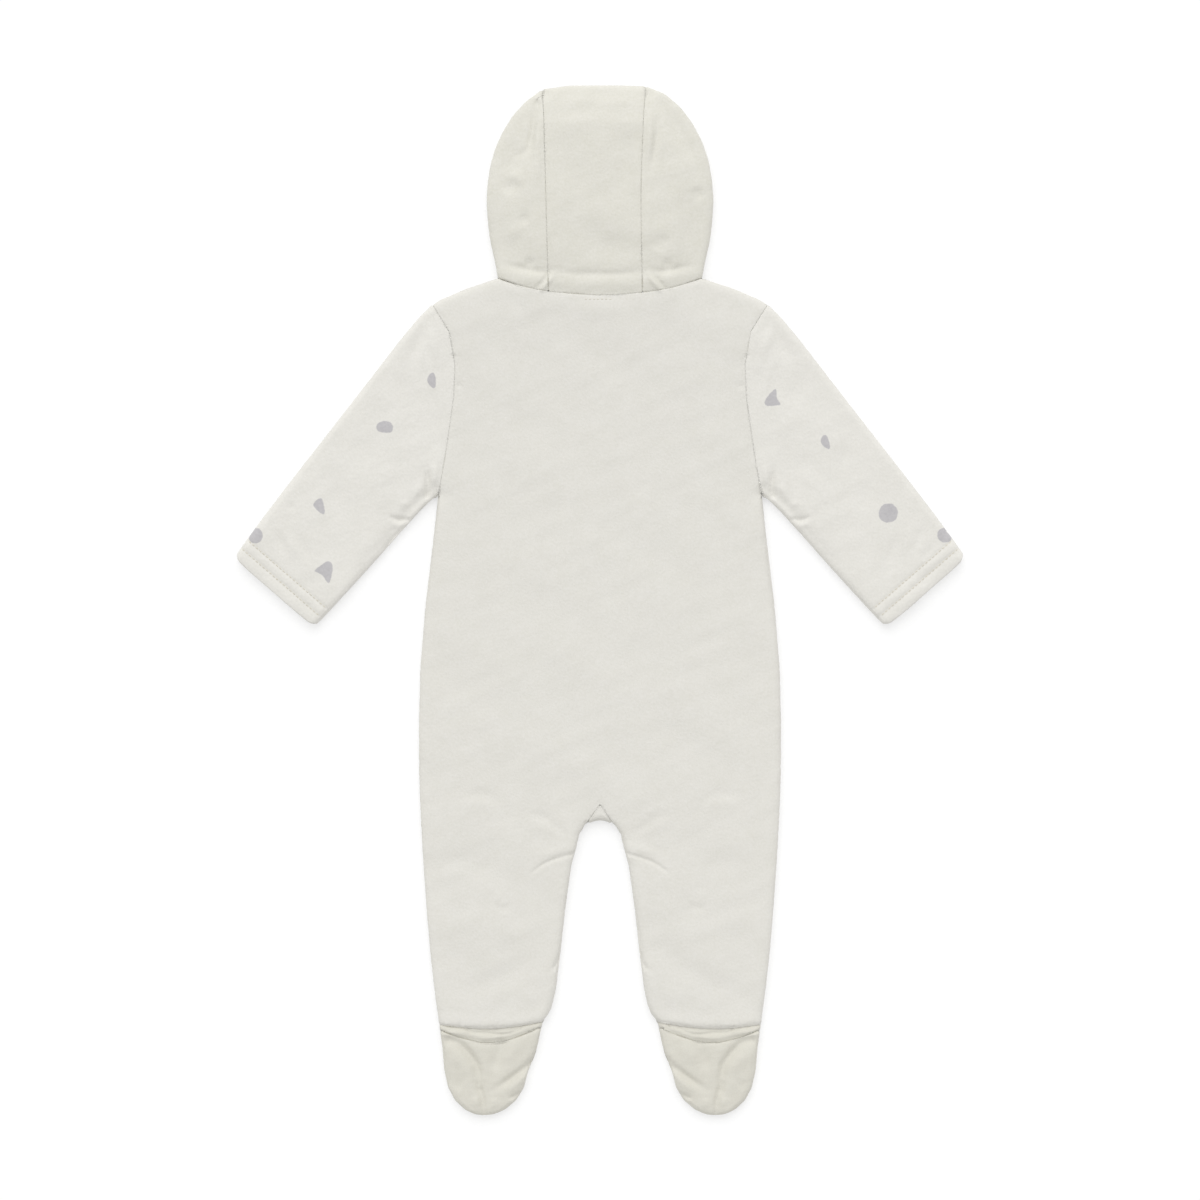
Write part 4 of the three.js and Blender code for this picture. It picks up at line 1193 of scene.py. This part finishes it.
# ------------------------------------------------------------------ studio


@dataclass
class Studio:
    """A white floor, soft even light and a camera straight above."""

    frame_width: float = 0.864  # of the view, in metres
    lens: float = 120.0
    sensor: float = 36.0
    sky: float = 0.68
    lamp_share: float = 0.45
    lamp_angle: float = 55.0  # degrees across, so that shadows are soft
    lamp_tilt: tuple[float, float] = (-44.0, -6.0)  # degrees round x and y, from straight above
    floor_glow: float = 0.5  # share of the floor's white that no shadow takes away

    def build(self) -> None:
        """Builds the studio."""
        self._camera()
        self._light()
        self._floor()
        bpy.context.scene.view_settings.view_transform = "Standard"

    def _camera(self) -> None:
        """Sets the camera over the garment's middle, with +Y up in the view."""
        data = bpy.data.cameras.new("camera")
        data.lens = self.lens
        data.sensor_width = self.sensor
        camera = bpy.data.objects.new("camera", data)
        distance = self.frame_width * self.lens / self.sensor
        camera.location = (0, 0, distance + LAID_TOP)
        bpy.context.scene.collection.objects.link(camera)
        bpy.context.scene.camera = camera

    def _light(self) -> None:
        """An even white sky, and a broad lamp from the head end that models the folds."""
        world = bpy.data.worlds.new("sky")
        world.use_nodes = True
        tree = world.node_tree
        tree.nodes.clear()
        path = add_node(tree, "ShaderNodeLightPath")
        seen = add_node(tree, "ShaderNodeMath", {"operation": "MAXIMUM"},
                        in_0=path.outputs["Is Camera Ray"], in_1=path.outputs["Is Glossy Ray"])
        strength = add_node(tree, "ShaderNodeMapRange", Value=seen.outputs[0], To_Min=self.sky, To_Max=1.0)
        sky = add_node(tree, "ShaderNodeBackground", Color=(1, 1, 1, 1), Strength=strength.outputs[0])
        add_node(tree, "ShaderNodeOutputWorld", Surface=sky.outputs[0])
        bpy.context.scene.world = world
        lamp = bpy.data.lights.new("soft_lamp", "SUN")
        lamp.energy = math.pi * self.lamp_share
        lamp.angle = math.radians(self.lamp_angle)
        holder = bpy.data.objects.new("soft_lamp", lamp)
        holder.rotation_euler = (*(math.radians(tilt) for tilt in self.lamp_tilt), 0)
        bpy.context.scene.collection.objects.link(holder)

    def _floor(self) -> None:
        """A wide white floor that keeps the garment's soft shadow."""
        half = 12.0
        corners = np.array([(-half, -half, 0), (half, -half, 0), (half, half, 0), (-half, half, 0)])
        floor = mesh_object("floor", corners, [(0, 1, 2, 3)])
        floor.location.z = -0.15 * MM
        material, tree = new_material("paper_white_matt")
        path = add_node(tree, "ShaderNodeLightPath")
        seen = add_node(tree, "ShaderNodeMath", {"operation": "MULTIPLY"},
                        in_0=path.outputs["Is Camera Ray"], in_1=self.floor_glow)
        matt = add_node(tree, "ShaderNodeBsdfDiffuse", Color=(0.96, 0.96, 0.96, 1))
        glow = add_node(tree, "ShaderNodeEmission", Color=(1, 1, 1, 1), Strength=1.1)
        whole = add_node(tree, "ShaderNodeMixShader", in_0=seen.outputs[0], in_1=matt.outputs[0],
                         in_2=glow.outputs[0])
        add_node(tree, "ShaderNodeOutputMaterial", Surface=whole.outputs[0])
        dress(floor, material)


def main() -> None:
    """Builds the garment, its zip and the studio."""
    logging.basicConfig(level=logging.INFO, format="%(name)s: %(message)s")
    garment = Garment()
    garment.build()
    sew(garment)
    Zip().build()
    Studio().build()


if __name__ == "__main__":
    main()
